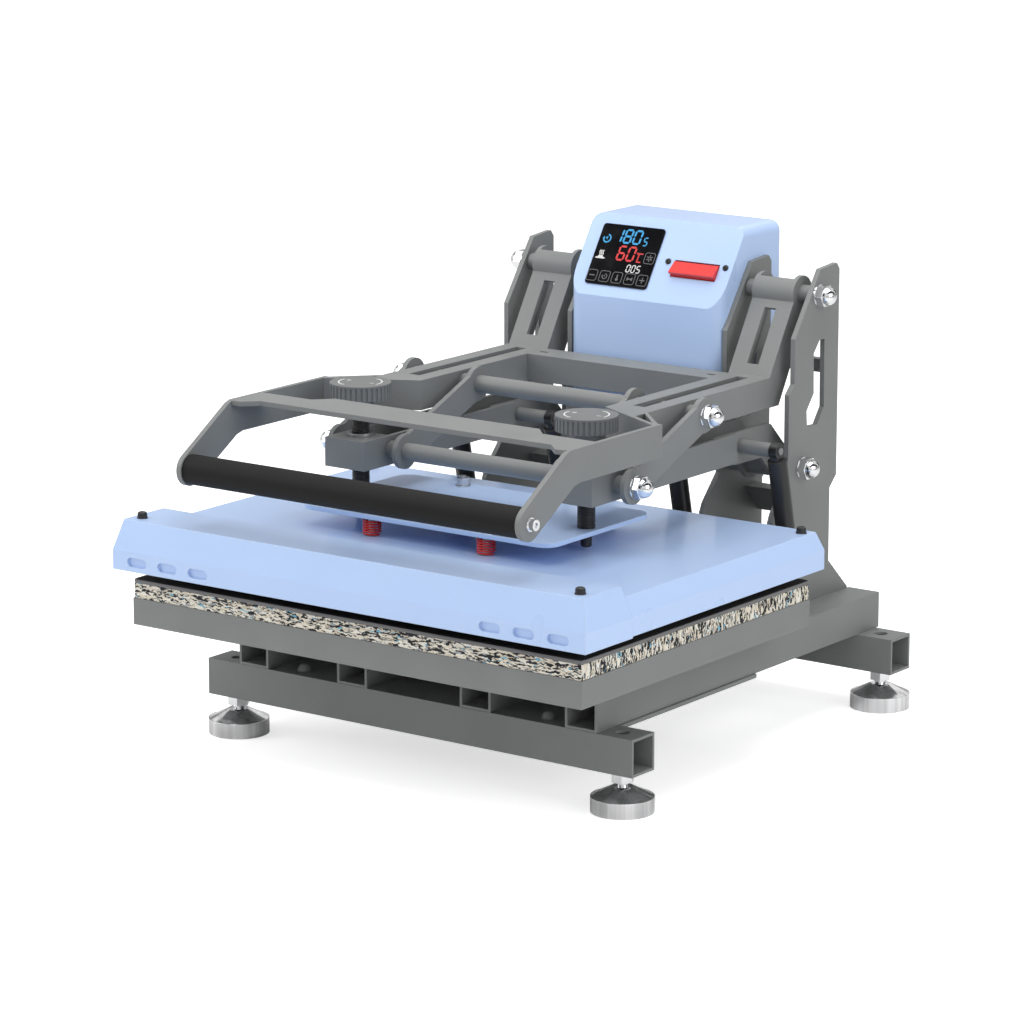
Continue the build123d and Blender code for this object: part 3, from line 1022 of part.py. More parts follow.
def platen():
    """Heated upper platen under its sheet cover."""
    cover = cover_body(0) - cover_body(COVER_SHEET)
    inner_face = BAND_FRONT + COVER_SHEET / 2
    recess_end = BAND_FRONT + VENT_RECESS
    long, high = VENT_LENGTH / 2 + VENT_FLOOR, VENT_HEIGHT / 2 + VENT_FLOOR
    z = COVER_BOTTOM + VENT_RISE
    for i in range(VENT_COUNT):
        for side in (-1, 1):
            x = side * (BAND_HALF_WIDTH - VENT_FROM_SIDE - VENT_PITCH * i)
            cover += block(x - long, x + long, inner_face, recess_end + VENT_FLOOR, z - high, z + high)
            opening = Plane.XZ.offset(-recess_end) * Pos(x, z) * SlotOverall(VENT_LENGTH, VENT_HEIGHT)
            cover -= extrude(opening, VENT_RECESS + CUT_PAST)
    studs = [(x, y) for x in (-STUD_X, STUD_X) for y in (STUD_FRONT_Y, STUD_BACK_Y)]
    for x, y in studs:
        cover -= bar_z(STUD_RADIUS + STUD_PLAY, x, y, COVER_SHOULDER, COVER_TOP + CUT_PAST)
    for x, y, top in (FRONT_CAP, BACK_CAP):
        for side in (-1, 1):
            cover -= bar_z(CAP_STEM_RADIUS, side * x, y, COVER_SHOULDER, top + CUT_PAST)
    keep("platen_cover", cover)

    half = PAD_WIDTH / 2
    first_run, last_run = HEATER_END_MARGIN, PAD_DEPTH - HEATER_END_MARGIN
    element = serpentine(half - HEATER_SIDE_MARGIN, first_run, last_run, HEATING_PLATE_TOP)
    heating_plate = block(-half, half, 0, PAD_DEPTH, HEATING_PLATE_BOTTOM, HEATING_PLATE_TOP)
    heating_plate -= element
    keep("heating_plate", heating_plate)
    keep("heater_element", element)

    clear = SOFT_CLEARANCE
    blanket_bottom = HEATING_PLATE_TOP + HEATER_RADIUS + clear
    blanket_top = blanket_bottom + INSULATION_THICKNESS
    side, end = half - INSULATION_SIDE_MARGIN, INSULATION_END_MARGIN
    blanket = block(-side, side, end, PAD_DEPTH - end, blanket_bottom, blanket_top)
    backing_bottom = blanket_top + clear
    backing_top = backing_bottom + BACKING_PLATE_THICKNESS
    past_side, past_front, past_back = BACKING_PAST_STUDS
    backing_half = STUD_X + past_side
    backing = block(
        -backing_half, backing_half, STUD_FRONT_Y - past_front, STUD_BACK_Y + past_back,
        backing_bottom, backing_top)
    for x, y in studs:
        backing += bar_z(STUD_RADIUS, x, y, backing_top, PLATE_TOP + LOCK_NUT_HEIGHT + STUD_PAST_NUT)
    run_pitch = (last_run - first_run) / (HEATER_RUNS - 1)
    post_x = backing_half - BACKING_POST_FROM_EDGE
    for x in (-post_x, post_x):
        for y in (first_run + 1.5 * run_pitch, last_run - 1.5 * run_pitch):
            backing += bar_z(BACKING_POST_RADIUS, x, y, HEATING_PLATE_TOP, backing_bottom)
            blanket -= bar_z(
                BACKING_POST_RADIUS + clear, x, y, blanket_bottom - CUT_PAST, blanket_top + CUT_PAST)
    keep("insulation_blanket", blanket)
    keep("backing_plate", backing)

    nuts = []
    for x, y in studs:
        nut = hexagon_z(LOCK_NUT_ACROSS, x, y, PLATE_TOP, PLATE_TOP + LOCK_NUT_HEIGHT)
        flange = LOCK_NUT_ACROSS / 2 + LOCK_NUT_FLANGE
        nut += bar_z(flange, x, y, PLATE_TOP, PLATE_TOP + LOCK_NUT_FLANGE_HEIGHT)
        nuts.append(nut - bar_z(
            STUD_RADIUS, x, y, PLATE_TOP - CUT_PAST, PLATE_TOP + LOCK_NUT_HEIGHT + CUT_PAST))
    keep("lock_nuts", nuts)
    caps = []
    for x, y, top in (FRONT_CAP, BACK_CAP):
        cap = bar_z(CAP_NUT_RADIUS, x, y, top, top + CAP_NUT_HEIGHT)
        cap += bar_z(CAP_STEM_RADIUS, x, y, HEATING_PLATE_TOP, top)
        cap += bar_z(CAP_NUT_RADIUS, x, y, HEATING_PLATE_TOP, top - COVER_SHEET)
        caps += both_sides(cap)
    keep("cover_cap_nuts", caps)


def strut_direction():
    """Unit (Y, Z) direction from the strut's foot up to its pin, and the length between."""
    dy = STRUT_PIN[0] - STRUT_FOOT[0]
    dz = STRUT_PIN[1] - STRUT_FOOT[1]
    length = math.hypot(dy, dz)
    return dy / length, dz / length, length


def strut_piece(x, along_start, along_end, radius):
    """Round bar on a strut's axis, measured from its foot towards its pin."""
    dy, dz, _ = strut_direction()
    middle = (along_start + along_end) / 2
    centre = Vector(x, STRUT_FOOT[0] + dy * middle, STRUT_FOOT[1] + dz * middle)
    return Plane(origin=centre, z_dir=(0, dy, dz)) * Cylinder(radius, along_end - along_start)


def gas_struts():
    """Four gas struts with their brackets on the rails."""
    length = strut_direction()[2]
    cylinder_top = length - STRUT_EYE_RADIUS - STRUT_NECK_LENGTH
    cylinder_bottom = cylinder_top - STRUT_CYLINDER_LENGTH
    eye_half = STRUT_EYE_WIDTH / 2
    fy, fz = STRUT_FOOT
    reach = STRUT_CHEEK_RADIUS
    cylinders, rods, brackets = [], [], []
    for x in (INNER_RAIL_X, OUTER_RAIL_X):
        left, right = x - eye_half, x + eye_half
        neck = strut_piece(
            x, cylinder_top - STRUT_NECK_LENGTH, length - STRUT_NECK_INTO_EYE,
            STRUT_EYE_RADIUS - STRUT_NECK_STEP)
        cylinder = strut_piece(x, cylinder_bottom, cylinder_top, STRUT_CYLINDER_RADIUS)
        cylinder += neck & block(left, right, 0, RAIL_BACK, FLOOR, BOX_TOP)
        cylinder += bar_x(STRUT_EYE_RADIUS, left, right, STRUT_PIN)
        cylinder -= bar_x(STRUT_PIN_RADIUS + RUNNING_CLEARANCE, left - CUT_PAST, right + CUT_PAST, STRUT_PIN)
        bore_end = cylinder_top - STRUT_CAP_LENGTH
        cylinder -= strut_piece(x, cylinder_bottom - CUT_PAST, bore_end, STRUT_ROD_RADIUS + RUNNING_CLEARANCE)
        rod = strut_piece(x, STRUT_ROD_IN_EYE, cylinder_bottom + STRUT_ROD_IN_CYLINDER, STRUT_ROD_RADIUS)
        rod += bar_x(STRUT_EYE_RADIUS, left, right, STRUT_FOOT)
        rod += bar_x(STRUT_PIN_RADIUS, left - STRUT_FOOT_PIN_PAST, right + STRUT_FOOT_PIN_PAST, STRUT_FOOT)
        cylinders += both_sides(cylinder)
        rods += both_sides(rod)
        for side in (-1, 1):
            near = x + side * (eye_half + SLIDING_CLEARANCE)
            far = near + side * STRUT_CHEEK_THICKNESS
            low_x, high_x = min(near, far), max(near, far)
            cheek = block(low_x, high_x, fy - reach, fy + reach, RAIL_TOP, fz)
            cheek += bar_x(reach, low_x, high_x, STRUT_FOOT)
            cheek &= block(low_x, high_x, fy - reach, fy + reach, RAIL_TOP, fz + reach)
            cheek -= bar_x(STRUT_FOOT_HOLE, low_x - CUT_PAST, high_x + CUT_PAST, STRUT_FOOT)
            brackets += both_sides(cheek)
    keep("strut_cylinders", cylinders)
    keep("strut_rods", rods)
    keep("strut_brackets", brackets)


def box_profile(shrink):
    """(Y, Z) side outline of the control box, full size or shrunk by its sheet."""
    lean = shrink * math.tan(math.radians((90 - PANEL_ANGLE) / 2))
    top_lean = shrink * math.tan(math.radians(PANEL_ANGLE / 2))
    back = BOX_BACK + (CUT_PAST if shrink else 0)
    return [
        (BOX_FRONT + shrink, BOX_BOTTOM + shrink), (BOX_FRONT + shrink, BOX_PANEL_FOOT - lean),
        (BOX_PANEL_TOP_Y + top_lean, BOX_TOP - shrink), (back, BOX_TOP - shrink), (back, BOX_BOTTOM + shrink),
    ]


def box_body(shrink):
    """Control box volume with rounded front and top corners."""
    half = BOX_HALF_WIDTH - shrink
    body = side_outline(box_profile(shrink), -half, half)
    corner = BOX_CORNER - shrink
    top_corner = BOX_TOP_CORNER - shrink
    deep = 2 * BOX_DEPTH
    plan = Pos(0, BOX_FRONT + shrink + deep / 2) * RectangleRounded(2 * half, deep, corner)
    front_view = RectangleRounded(2 * half, 2 * (BOX_TOP - shrink), top_corner)
    body &= extrude(plan, BOX_TOP + CUT_PAST)
    body &= extrude(Plane.XZ * front_view, -BOX_FRONT - deep)
    return body


def on_panel(x, distance):
    """Plane on the sloping panel, at a distance up from its foot, with X across and Y up it."""
    angle = math.radians(PANEL_ANGLE)
    origin = (x, BOX_FRONT + distance * math.cos(angle), BOX_PANEL_FOOT + distance * math.sin(angle))
    return Plane(origin=origin, x_dir=(1, 0, 0), z_dir=(0, -math.sin(angle), math.cos(angle)))


def control_box():
    """Sheet metal box with its display, power rocker and what it holds inside."""
    shell = box_body(0) - box_body(BOX_SHEET)
    rocker_plane = on_panel(ROCKER_X, ROCKER_MIDDLE)
    opening_width = ROCKER_WIDTH + 2 * ROCKER_GAP
    opening_height = ROCKER_HEIGHT + 2 * ROCKER_GAP
    shell -= rocker_plane * Box(opening_width, opening_height, ROCKER_HOUSING_DEPTH)
    screws = []
    spread = ROCKER_WIDTH / 2 + BOX_SCREW_FROM_ROCKER
    for x in (ROCKER_X - spread, ROCKER_X + spread):
        plane = on_panel(x, ROCKER_MIDDLE + BOX_SCREW_ABOVE_ROCKER)
        shank = plane * Pos(0, 0, -BOX_SCREW_LENGTH / 2) * Cylinder(BOX_SCREW_SHANK, BOX_SCREW_LENGTH)
        head = plane * Pos(0, 0, BOX_SCREW_HEAD / 2) * Cylinder(BOX_SCREW_RADIUS, BOX_SCREW_HEAD)
        shell -= shank
        screws.append(head + shank)
    keep("control_box", shell)
    keep("panel_screws", screws)

    glass = on_panel(DISPLAY_X, DISPLAY_MIDDLE) * Pos(0, 0, DISPLAY_THICKNESS / 2)
    glass *= extrude(
        RectangleRounded(DISPLAY_WIDTH, DISPLAY_HEIGHT, DISPLAY_CORNER), DISPLAY_THICKNESS / 2, both=True)
    keep("display_glass", glass)
    keep("control_board", control_board())
    rocker_parts(rocker_plane)
    box_back()


def control_board():
    """Circuit board on four posts behind the display."""
    depth = BOX_SHEET + BOARD_POST_HEIGHT + BOARD_THICKNESS / 2
    width, height = DISPLAY_WIDTH - 2 * BOARD_MARGIN, DISPLAY_HEIGHT - 2 * BOARD_MARGIN
    board_plane = on_panel(DISPLAY_X, DISPLAY_MIDDLE)
    board = board_plane * Pos(0, 0, -depth) * Box(width, height, BOARD_THICKNESS)
    post_x, post_y = width / 2 - BOARD_POST_MARGIN, height / 2 - BOARD_POST_MARGIN
    for x in (-post_x, post_x):
        for y in (-post_y, post_y):
            post = Cylinder(BOARD_POST_RADIUS, BOARD_POST_HEIGHT)
            board += board_plane * Pos(x, y, -BOX_SHEET - BOARD_POST_HEIGHT / 2) * post
    return board


def rocker_parts(rocker_plane):
    """Rocker on its axle, and the housing behind the panel that holds both."""
    outer_width = ROCKER_WIDTH + 2 * ROCKER_HOUSING_WALL
    outer_height = ROCKER_HEIGHT + 2 * ROCKER_HOUSING_WALL
    depth = ROCKER_HOUSING_DEPTH
    housing = rocker_plane * Pos(0, 0, -BOX_SHEET - depth / 2) * Box(outer_width, outer_height, depth)
    pocket = depth - ROCKER_HOUSING_FLOOR + BOX_SHEET
    housing -= rocker_plane * Pos(0, 0, -pocket / 2) * Box(
        ROCKER_WIDTH + 2 * ROCKER_GAP, ROCKER_HEIGHT + 2 * ROCKER_GAP, pocket)
    side_plane = Plane(origin=rocker_plane.origin, x_dir=rocker_plane.y_dir, z_dir=(1, 0, 0))
    axle_out = -BOX_SHEET - ROCKER_AXLE_DROP
    axle_plane = side_plane * Pos(0, axle_out)
    housing -= axle_plane * Cylinder(ROCKER_AXLE_RADIUS + RUNNING_CLEARANCE, outer_width + CUT_PAST)
    keep("rocker_housing", housing)

    half = ROCKER_HEIGHT / 2
    lip_down, chin_down, root_down = ROCKER_LIP_DOWN
    lip_out, chin_out, root_out = ROCKER_LIP_OUT
    slope = (lip_out - ROCKER_LOW_EDGE) / (half + lip_down)
    core_face = make_face(Polyline(
        (-half, ROCKER_LOW_EDGE + 2 * half * slope), (half, ROCKER_LOW_EDGE), (half, -ROCKER_DEPTH),
        (-half, -ROCKER_DEPTH), close=True))
    rocker = extrude(side_plane * core_face, ROCKER_WIDTH / 2, both=True)
    rocker &= axle_plane * Cylinder(half - ROCKER_SWEEP_PLAY, ROCKER_WIDTH)
    lip_face = make_face(Polyline(
        (0, ROCKER_LOW_EDGE + half * slope), (-lip_down, lip_out), (-chin_down, chin_out),
        (-root_down, root_out), (0, root_out), close=True))
    rocker += extrude(side_plane * lip_face, ROCKER_WIDTH / 2, both=True)
    rocker += axle_plane * Cylinder(ROCKER_AXLE_RADIUS, ROCKER_WIDTH + 2 * ROCKER_GAP + 2 * ROCKER_AXLE_STUB)
    keep("power_rocker", rocker)


def box_back():
    """Back panel with the power inlet in it and the relay on it."""
    bottom = BOX_BOTTOM + BOX_SHEET
    half = BOX_HALF_WIDTH - BOX_SHEET
    panel_face = BOX_BACK - BOX_SHEET
    back = block(-half, half, panel_face, BOX_BACK, bottom, BOX_TOP - BOX_SHEET)
    rounded = RectangleRounded(2 * half, 2 * (BOX_TOP - BOX_SHEET), BOX_TOP_CORNER - BOX_SHEET)
    back &= extrude(Plane.XZ * rounded, -2 * BOX_BACK)
    z = BOX_BOTTOM + INLET_Z
    width, depth, height = INLET_BODY
    inner = BOX_BACK - depth
    body = block(INLET_X - width / 2, INLET_X + width / 2, inner, BOX_BACK, z - height / 2, z + height / 2)
    back -= body
    keep("control_box_back", back)

    flange_width, flange_depth, flange_height = INLET_FLANGE
    face = BOX_BACK + flange_depth
    inlet = body + block(
        INLET_X - flange_width / 2, INLET_X + flange_width / 2, BOX_BACK, face,
        z - flange_height / 2, z + flange_height / 2)
    socket_width, socket_depth, socket_height = INLET_SOCKET
    floor = BOX_BACK - socket_depth
    inlet -= block(
        INLET_X - socket_width / 2, INLET_X + socket_width / 2, floor, face + CUT_PAST,
        z - socket_height / 2, z + socket_height / 2)
    pin_width, pin_depth, pin_height = INLET_PIN
    for x in (INLET_X - INLET_PIN_PITCH, INLET_X, INLET_X + INLET_PIN_PITCH):
        inlet += block(
            x - pin_width / 2, x + pin_width / 2, floor - CUT_PAST, floor + pin_depth,
            z - pin_height / 2, z + pin_height / 2)
    keep("power_inlet", inlet)

    width, depth, height = RELAY_SIZE
    middle = BOX_BOTTOM + RELAY_Z
    keep("power_relay", block(
        RELAY_X - width / 2, RELAY_X + width / 2, panel_face - depth, panel_face,
        middle - height / 2, middle + height / 2))


def build():
    """Make every sub-part, shift it into the part's frame and write it out."""
    lower_pad()
    base_frame()
    feet()
    uprights()
    lower_arms()
    links()
    upper_frame()
    pressure_parts()
    platen()
    gas_struts()
    control_box()
    os.makedirs("parts", exist_ok=True)
    shift = Pos(0, -Y_MIDDLE, -FLOOR)
    for name, solids in parts.items():
        moved = [shift * solid for solid in solids]
        shape = moved[0] if len(moved) == 1 else Compound(moved)
        export_step(shape, "parts/" + name + ".step")


build()
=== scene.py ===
# %% [markdown]
# A large clamshell heat press, dressed for its portrait.
# The frame of the machine comes in as finished solids, so this lesson adds what solids lack:
# paint with a fine orange peel, rebonded foam chips, screw threads, printed marks and a lit display.
# Each step says what the piece is on the real machine, how it could be made, and why this way was chosen.

# %% Load the machine
import math

import bmesh
import bpy
from mathutils import Matrix, Vector, noise


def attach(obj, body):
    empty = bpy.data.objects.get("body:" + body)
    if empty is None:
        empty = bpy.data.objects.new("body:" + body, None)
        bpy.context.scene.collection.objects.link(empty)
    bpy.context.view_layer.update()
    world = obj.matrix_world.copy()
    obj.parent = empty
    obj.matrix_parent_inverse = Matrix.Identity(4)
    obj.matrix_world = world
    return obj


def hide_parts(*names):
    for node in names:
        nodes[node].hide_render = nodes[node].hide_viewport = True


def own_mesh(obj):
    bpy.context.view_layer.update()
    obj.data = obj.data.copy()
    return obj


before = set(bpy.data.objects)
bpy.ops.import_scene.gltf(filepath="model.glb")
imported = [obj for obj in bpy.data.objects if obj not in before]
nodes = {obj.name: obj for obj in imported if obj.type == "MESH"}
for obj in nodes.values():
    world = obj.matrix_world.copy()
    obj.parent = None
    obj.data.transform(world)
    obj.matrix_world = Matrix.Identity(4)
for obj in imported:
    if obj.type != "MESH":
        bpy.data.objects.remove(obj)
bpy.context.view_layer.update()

# %% [markdown]
# The machine was measured from the front edge of its lower pad and the underside of the pad's tray.
# Those numbers are easy to check against a ruler, so the lesson keeps them, in millimetres.
# One small function turns such a place into the scene's metres, with the floor at height zero.

# %% From bench millimetres to scene metres
MM = 0.001
BENCH_MIDDLE_Y = 332.15
BENCH_FLOOR = -144.5


def at(x, y, z):
    """A place on the machine, in bench millimetres, as a point of the scene."""
    return Vector((x, y - BENCH_MIDDLE_Y, z - BENCH_FLOOR)) * MM


print("pad corner lies at", [round(v, 4) for v in at(-300, 0, 0)])

# %% [markdown]
# A photograph fixes the camera. Its long lens flattens the machine, so a wide camera placed closer
# would never match. The lens and the place below were solved from straight edges of the pad and the box.

# %% The camera of the portrait
CAMERA_TURN = 36.23
CAMERA_TILT = 12.76
LENS = 150.58
camera_data = bpy.data.cameras.new("portrait_camera")
camera_data.lens = LENS
camera_data.sensor_width = 36.0
camera_data.clip_end = 50.0
camera = bpy.data.objects.new("portrait_camera", camera_data)
bpy.context.scene.collection.objects.link(camera)
camera.location = at(2717.34, -3418.46, 1153.98)
camera.rotation_euler = (math.radians(90 - CAMERA_TILT), 0, math.radians(CAMERA_TURN))
bpy.context.scene.camera = camera
print("camera stands", round(camera.location.length, 2), "m from the machine")

# %% [markdown]
# Painted steel looks right only under broad light. A bare sun would give hard black shadows,
# so three large soft panels do the work: one high on the left, one on the right and one overhead.
# Chrome shows only what stands around it. In a white room it turns white, so mirror rays, and only
# those, see a room with dark cards in it, as a photographer would hang beside the machine.

# %% Studio light and floor
def soft_panel(name, place, target, width, height, power):
    """A rectangular studio light that faces its target."""
    data = bpy.data.lights.new(name, "AREA")
    data.shape = "RECTANGLE"
    data.size = width
    data.size_y = height
    data.energy = power
    light = bpy.data.objects.new(name, data)
    bpy.context.scene.collection.objects.link(light)
    light.location = place
    light.rotation_euler = (Vector(target) - Vector(place)).to_track_quat("-Z", "Y").to_euler()
    return light


MIDDLE = (0.0, 0.0, 0.25)
soft_panel("light_overhead", (0.0, -0.2, 2.6), MIDDLE, 2.4, 2.4, 42)
soft_panel("light_left", (-2.2, -1.6, 1.7), MIDDLE, 1.6, 1.6, 22)
soft_panel("light_right", (2.4, -0.4, 1.2), MIDDLE, 1.4, 1.4, 13)
world = bpy.data.worlds.new("pale_room")
world.use_nodes = True
room = world.node_tree
room_light = room.nodes["Background"]
room_light.inputs["Strength"].default_value = 0.62
ray_kind = room.nodes.new("ShaderNodeLightPath")
direction = room.nodes.new("ShaderNodeTexCoord")
dark_cards = room.nodes.new("ShaderNodeTexNoise")
dark_cards.inputs["Scale"].default_value = 2.2
dark_cards.inputs["Detail"].default_value = 0.0
card_edges = room.nodes.new("ShaderNodeValToRGB")
card_edges.color_ramp.elements[0].position = 0.36
card_edges.color_ramp.elements[0].color = (0.02, 0.02, 0.025, 1.0)
card_edges.color_ramp.elements[1].position = 0.60
card_edges.color_ramp.elements[1].color = (1.25, 1.25, 1.25, 1.0)
room_choice = room.nodes.new("ShaderNodeMix")
room_choice.data_type = "RGBA"
room_sockets = [s for s in room_choice.inputs if s.type == "RGBA"]
room_sockets[0].default_value = (1.0, 1.0, 1.0, 1.0)
room.links.new(direction.outputs["Generated"], dark_cards.inputs["Vector"])
room.links.new(dark_cards.outputs["Fac"], card_edges.inputs["Fac"])
room.links.new(ray_kind.outputs["Is Glossy Ray"], room_choice.inputs["Factor"])
room.links.new(card_edges.outputs["Color"], room_sockets[1])
room.links.new([s for s in room_choice.outputs if s.type == "RGBA"][0], room_light.inputs["Color"])
bpy.context.scene.world = world
bpy.context.scene.view_settings.view_transform = "Standard"

floor_mesh = bpy.data.meshes.new("studio_floor")
FLOOR_HALF = 12.0
floor_mesh.from_pydata(
    [(-FLOOR_HALF, -FLOOR_HALF, 0), (FLOOR_HALF, -FLOOR_HALF, 0), (FLOOR_HALF, FLOOR_HALF, 0), (-FLOOR_HALF, FLOOR_HALF, 0)],
    [], [(0, 1, 2, 3)])
studio_floor = bpy.data.objects.new("studio_floor", floor_mesh)
bpy.context.scene.collection.objects.link(studio_floor)

# %% [markdown]
# Several paints on this machine share the same effects, so each effect is a node group, built once.
# The first is grain: the tiny orange peel of powder coat, and the wide faint patches that break up
# a perfectly even colour. Both come from noise on object coordinates, in metres.

# %% Shader group: paint grain
def new_group(name, inputs, outputs):
    """An empty shader group with float or colour sockets, and its two ends."""
    tree = bpy.data.node_groups.new(name, "ShaderNodeTree")
    for label, kind, value in inputs:
        socket = tree.interface.new_socket(label, in_out="INPUT", socket_type=kind)
        if value is not None:
            socket.default_value = value
    for label, kind in outputs:
        tree.interface.new_socket(label, in_out="OUTPUT", socket_type=kind)
    return tree, tree.nodes.new("NodeGroupInput"), tree.nodes.new("NodeGroupOutput")


def add_noise(tree, scale, detail=3.0, roughness=0.5):
    node = tree.nodes.new("ShaderNodeTexNoise")
    node.inputs["Scale"].default_value = scale
    node.inputs["Detail"].default_value = detail
    node.inputs["Roughness"].default_value = roughness
    return node


def add_math(tree, operation, first=None, second=None):
    """A maths node whose two inputs are links or plain numbers."""
    node = tree.nodes.new("ShaderNodeMath")
    node.operation = operation
    for i, value in enumerate((first, second)):
        if value is None:
            continue
        if isinstance(value, (int, float)):
            node.inputs[i].default_value = value
        else:
            tree.links.new(value, node.inputs[i])
    return node


def add_range(tree, source, low, high, new_low=0.0, new_high=1.0):
    """A clamped change of range."""
    node = tree.nodes.new("ShaderNodeMapRange")
    tree.links.new(source, node.inputs["Value"])
    for label, value in (("From Min", low), ("From Max", high), ("To Min", new_low), ("To Max", new_high)):
        node.inputs[label].default_value = value
    return node


grain_group, grain_in, grain_out = new_group(
    "paint_grain",
    [("Vector", "NodeSocketVector", None), ("Peel Scale", "NodeSocketFloat", 700.0)],
    [("Height", "NodeSocketFloat"), ("Patches", "NodeSocketFloat")])
peel = add_noise(grain_group, 700.0, 2.0)
patch = add_noise(grain_group, 14.0, 1.0, 0.4)
grain_group.links.new(grain_in.outputs["Vector"], peel.inputs["Vector"])
grain_group.links.new(grain_in.outputs["Peel Scale"], peel.inputs["Scale"])
grain_group.links.new(grain_in.outputs["Vector"], patch.inputs["Vector"])
grain_group.links.new(peel.outputs["Fac"], grain_out.inputs["Height"])
patch_range = add_range(grain_group, patch.outputs["Fac"], 0.20, 0.80)
grain_group.links.new(patch_range.outputs["Result"], grain_out.inputs["Patches"])
print("group sockets:", [s.name for s in grain_group.interface.items_tree])

# %% [markdown]
# Bent and laser cut steel never has a knife edge. Rounding thousands of edges in the mesh is heavy,
# while a Bevel node rounds only the shading. Where the rounded normal leaves the true one there is
# an edge, so the same node also says where edges turn paler: partly paint rubbed thin, partly a painted highlight
# along the edge.

# %% Shader group: soft edges, edge wear and painted edge highlights
edge_group, edge_in, edge_out = new_group(
    "soft_edges",
    [("Vector", "NodeSocketVector", None), ("Radius", "NodeSocketFloat", 0.001), ("Wear Scale", "NodeSocketFloat", 60.0)],
    [("Normal", "NodeSocketVector"), ("Wear And Highlight", "NodeSocketFloat")])
bevel_node = edge_group.nodes.new("ShaderNodeBevel")
bevel_node.samples = 6
true_normal = edge_group.nodes.new("ShaderNodeNewGeometry")
compare = edge_group.nodes.new("ShaderNodeVectorMath")
compare.operation = "DOT_PRODUCT"
edge_group.links.new(edge_in.outputs["Radius"], bevel_node.inputs["Radius"])
edge_group.links.new(bevel_node.outputs["Normal"], compare.inputs[0])
edge_group.links.new(true_normal.outputs["True Normal"], compare.inputs[1])
rubbed = add_noise(edge_group, 60.0, 5.0, 0.65)
edge_group.links.new(edge_in.outputs["Vector"], rubbed.inputs["Vector"])
edge_group.links.new(edge_in.outputs["Wear Scale"], rubbed.inputs["Scale"])
# This mask pales the paint on edges: partly paint rubbed thin, partly a painted highlight along each edge.
edge_mask = add_range(edge_group, compare.outputs["Value"], 0.98, 0.80)
edge_wear_and_highlight = add_math(edge_group, "MULTIPLY", edge_mask.outputs["Result"], rubbed.outputs["Fac"])
edge_group.links.new(bevel_node.outputs["Normal"], edge_out.inputs["Normal"])
edge_group.links.new(edge_wear_and_highlight.outputs["Value"], edge_out.inputs["Wear And Highlight"])
print("edge group has", len(edge_group.nodes), "nodes")

# %% [markdown]
# Workshop machines gather a little dust on whatever faces up. The true normal's height tells which
# way a surface faces, and noise breaks the dust up.

# %% Shader group: settled dust
dust_group, dust_in, dust_out = new_group(
    "settled_dust",
    [("Vector", "NodeSocketVector", None), ("Amount", "NodeSocketFloat", 0.1)],
    [("Dust", "NodeSocketFloat")])
facing = dust_group.nodes.new("ShaderNodeNewGeometry")
facing_split = dust_group.nodes.new("ShaderNodeSeparateXYZ")
dust_group.links.new(facing.outputs["Normal"], facing_split.inputs["Vector"])
facing_up = add_range(dust_group, facing_split.outputs["Z"], 0.3, 1.0)
dust_cloud = add_noise(dust_group, 35.0, 6.0, 0.6)
dust_group.links.new(dust_in.outputs["Vector"], dust_cloud.inputs["Vector"])
dust_level = add_math(dust_group, "MULTIPLY", facing_up.outputs["Result"], dust_cloud.outputs["Fac"])
dust_total = add_math(dust_group, "MULTIPLY", dust_level.outputs["Value"], dust_in.outputs["Amount"])
dust_group.links.new(dust_total.outputs["Value"], dust_out.inputs["Dust"])
print("dust group ready")

# %% [markdown]
# A painted finish is then a short recipe: two close colours mixed by the patches, a paler colour on
# edges that is partly rubbed paint and partly a painted highlight, a veil of dust, and the orange peel as a bump
# over the rounded normal.

# %% Recipe: painted steel and moulded plastic
def start_material(name):
    """A material with its Principled shader and object coordinates."""
    made = bpy.data.materials.new(name)
    made.use_nodes = True
    tree = made.node_tree
    shader = tree.nodes["Principled BSDF"]
    coords = tree.nodes.new("ShaderNodeTexCoord").outputs["Object"]
    return made, tree, shader, coords


def use_group(tree, group, coords, **values):
    """Place a shared group, feed it the coordinates and set its other inputs."""
    node = tree.nodes.new("ShaderNodeGroup")
    node.node_tree = group
    tree.links.new(coords, node.inputs["Vector"])
    for label, value in values.items():
        node.inputs[label.replace("_", " ")].default_value = value
    return node


def mix_colour(tree, factor, first, second):
    """Mix two colours, each a link or a plain colour, by a linked factor."""
    node = tree.nodes.new("ShaderNodeMix")
    node.data_type = "RGBA"
    tree.links.new(factor, node.inputs["Factor"])
    for label, value in (("A", first), ("B", second)):
        socket = [s for s in node.inputs if s.name == label and s.type == "RGBA"][0]
        if isinstance(value, tuple):
            socket.default_value = (*value, 1.0)
        else:
            tree.links.new(value, socket)
    return [s for s in node.outputs if s.type == "RGBA"][0]


COAT_ROUGHNESS = 0.10


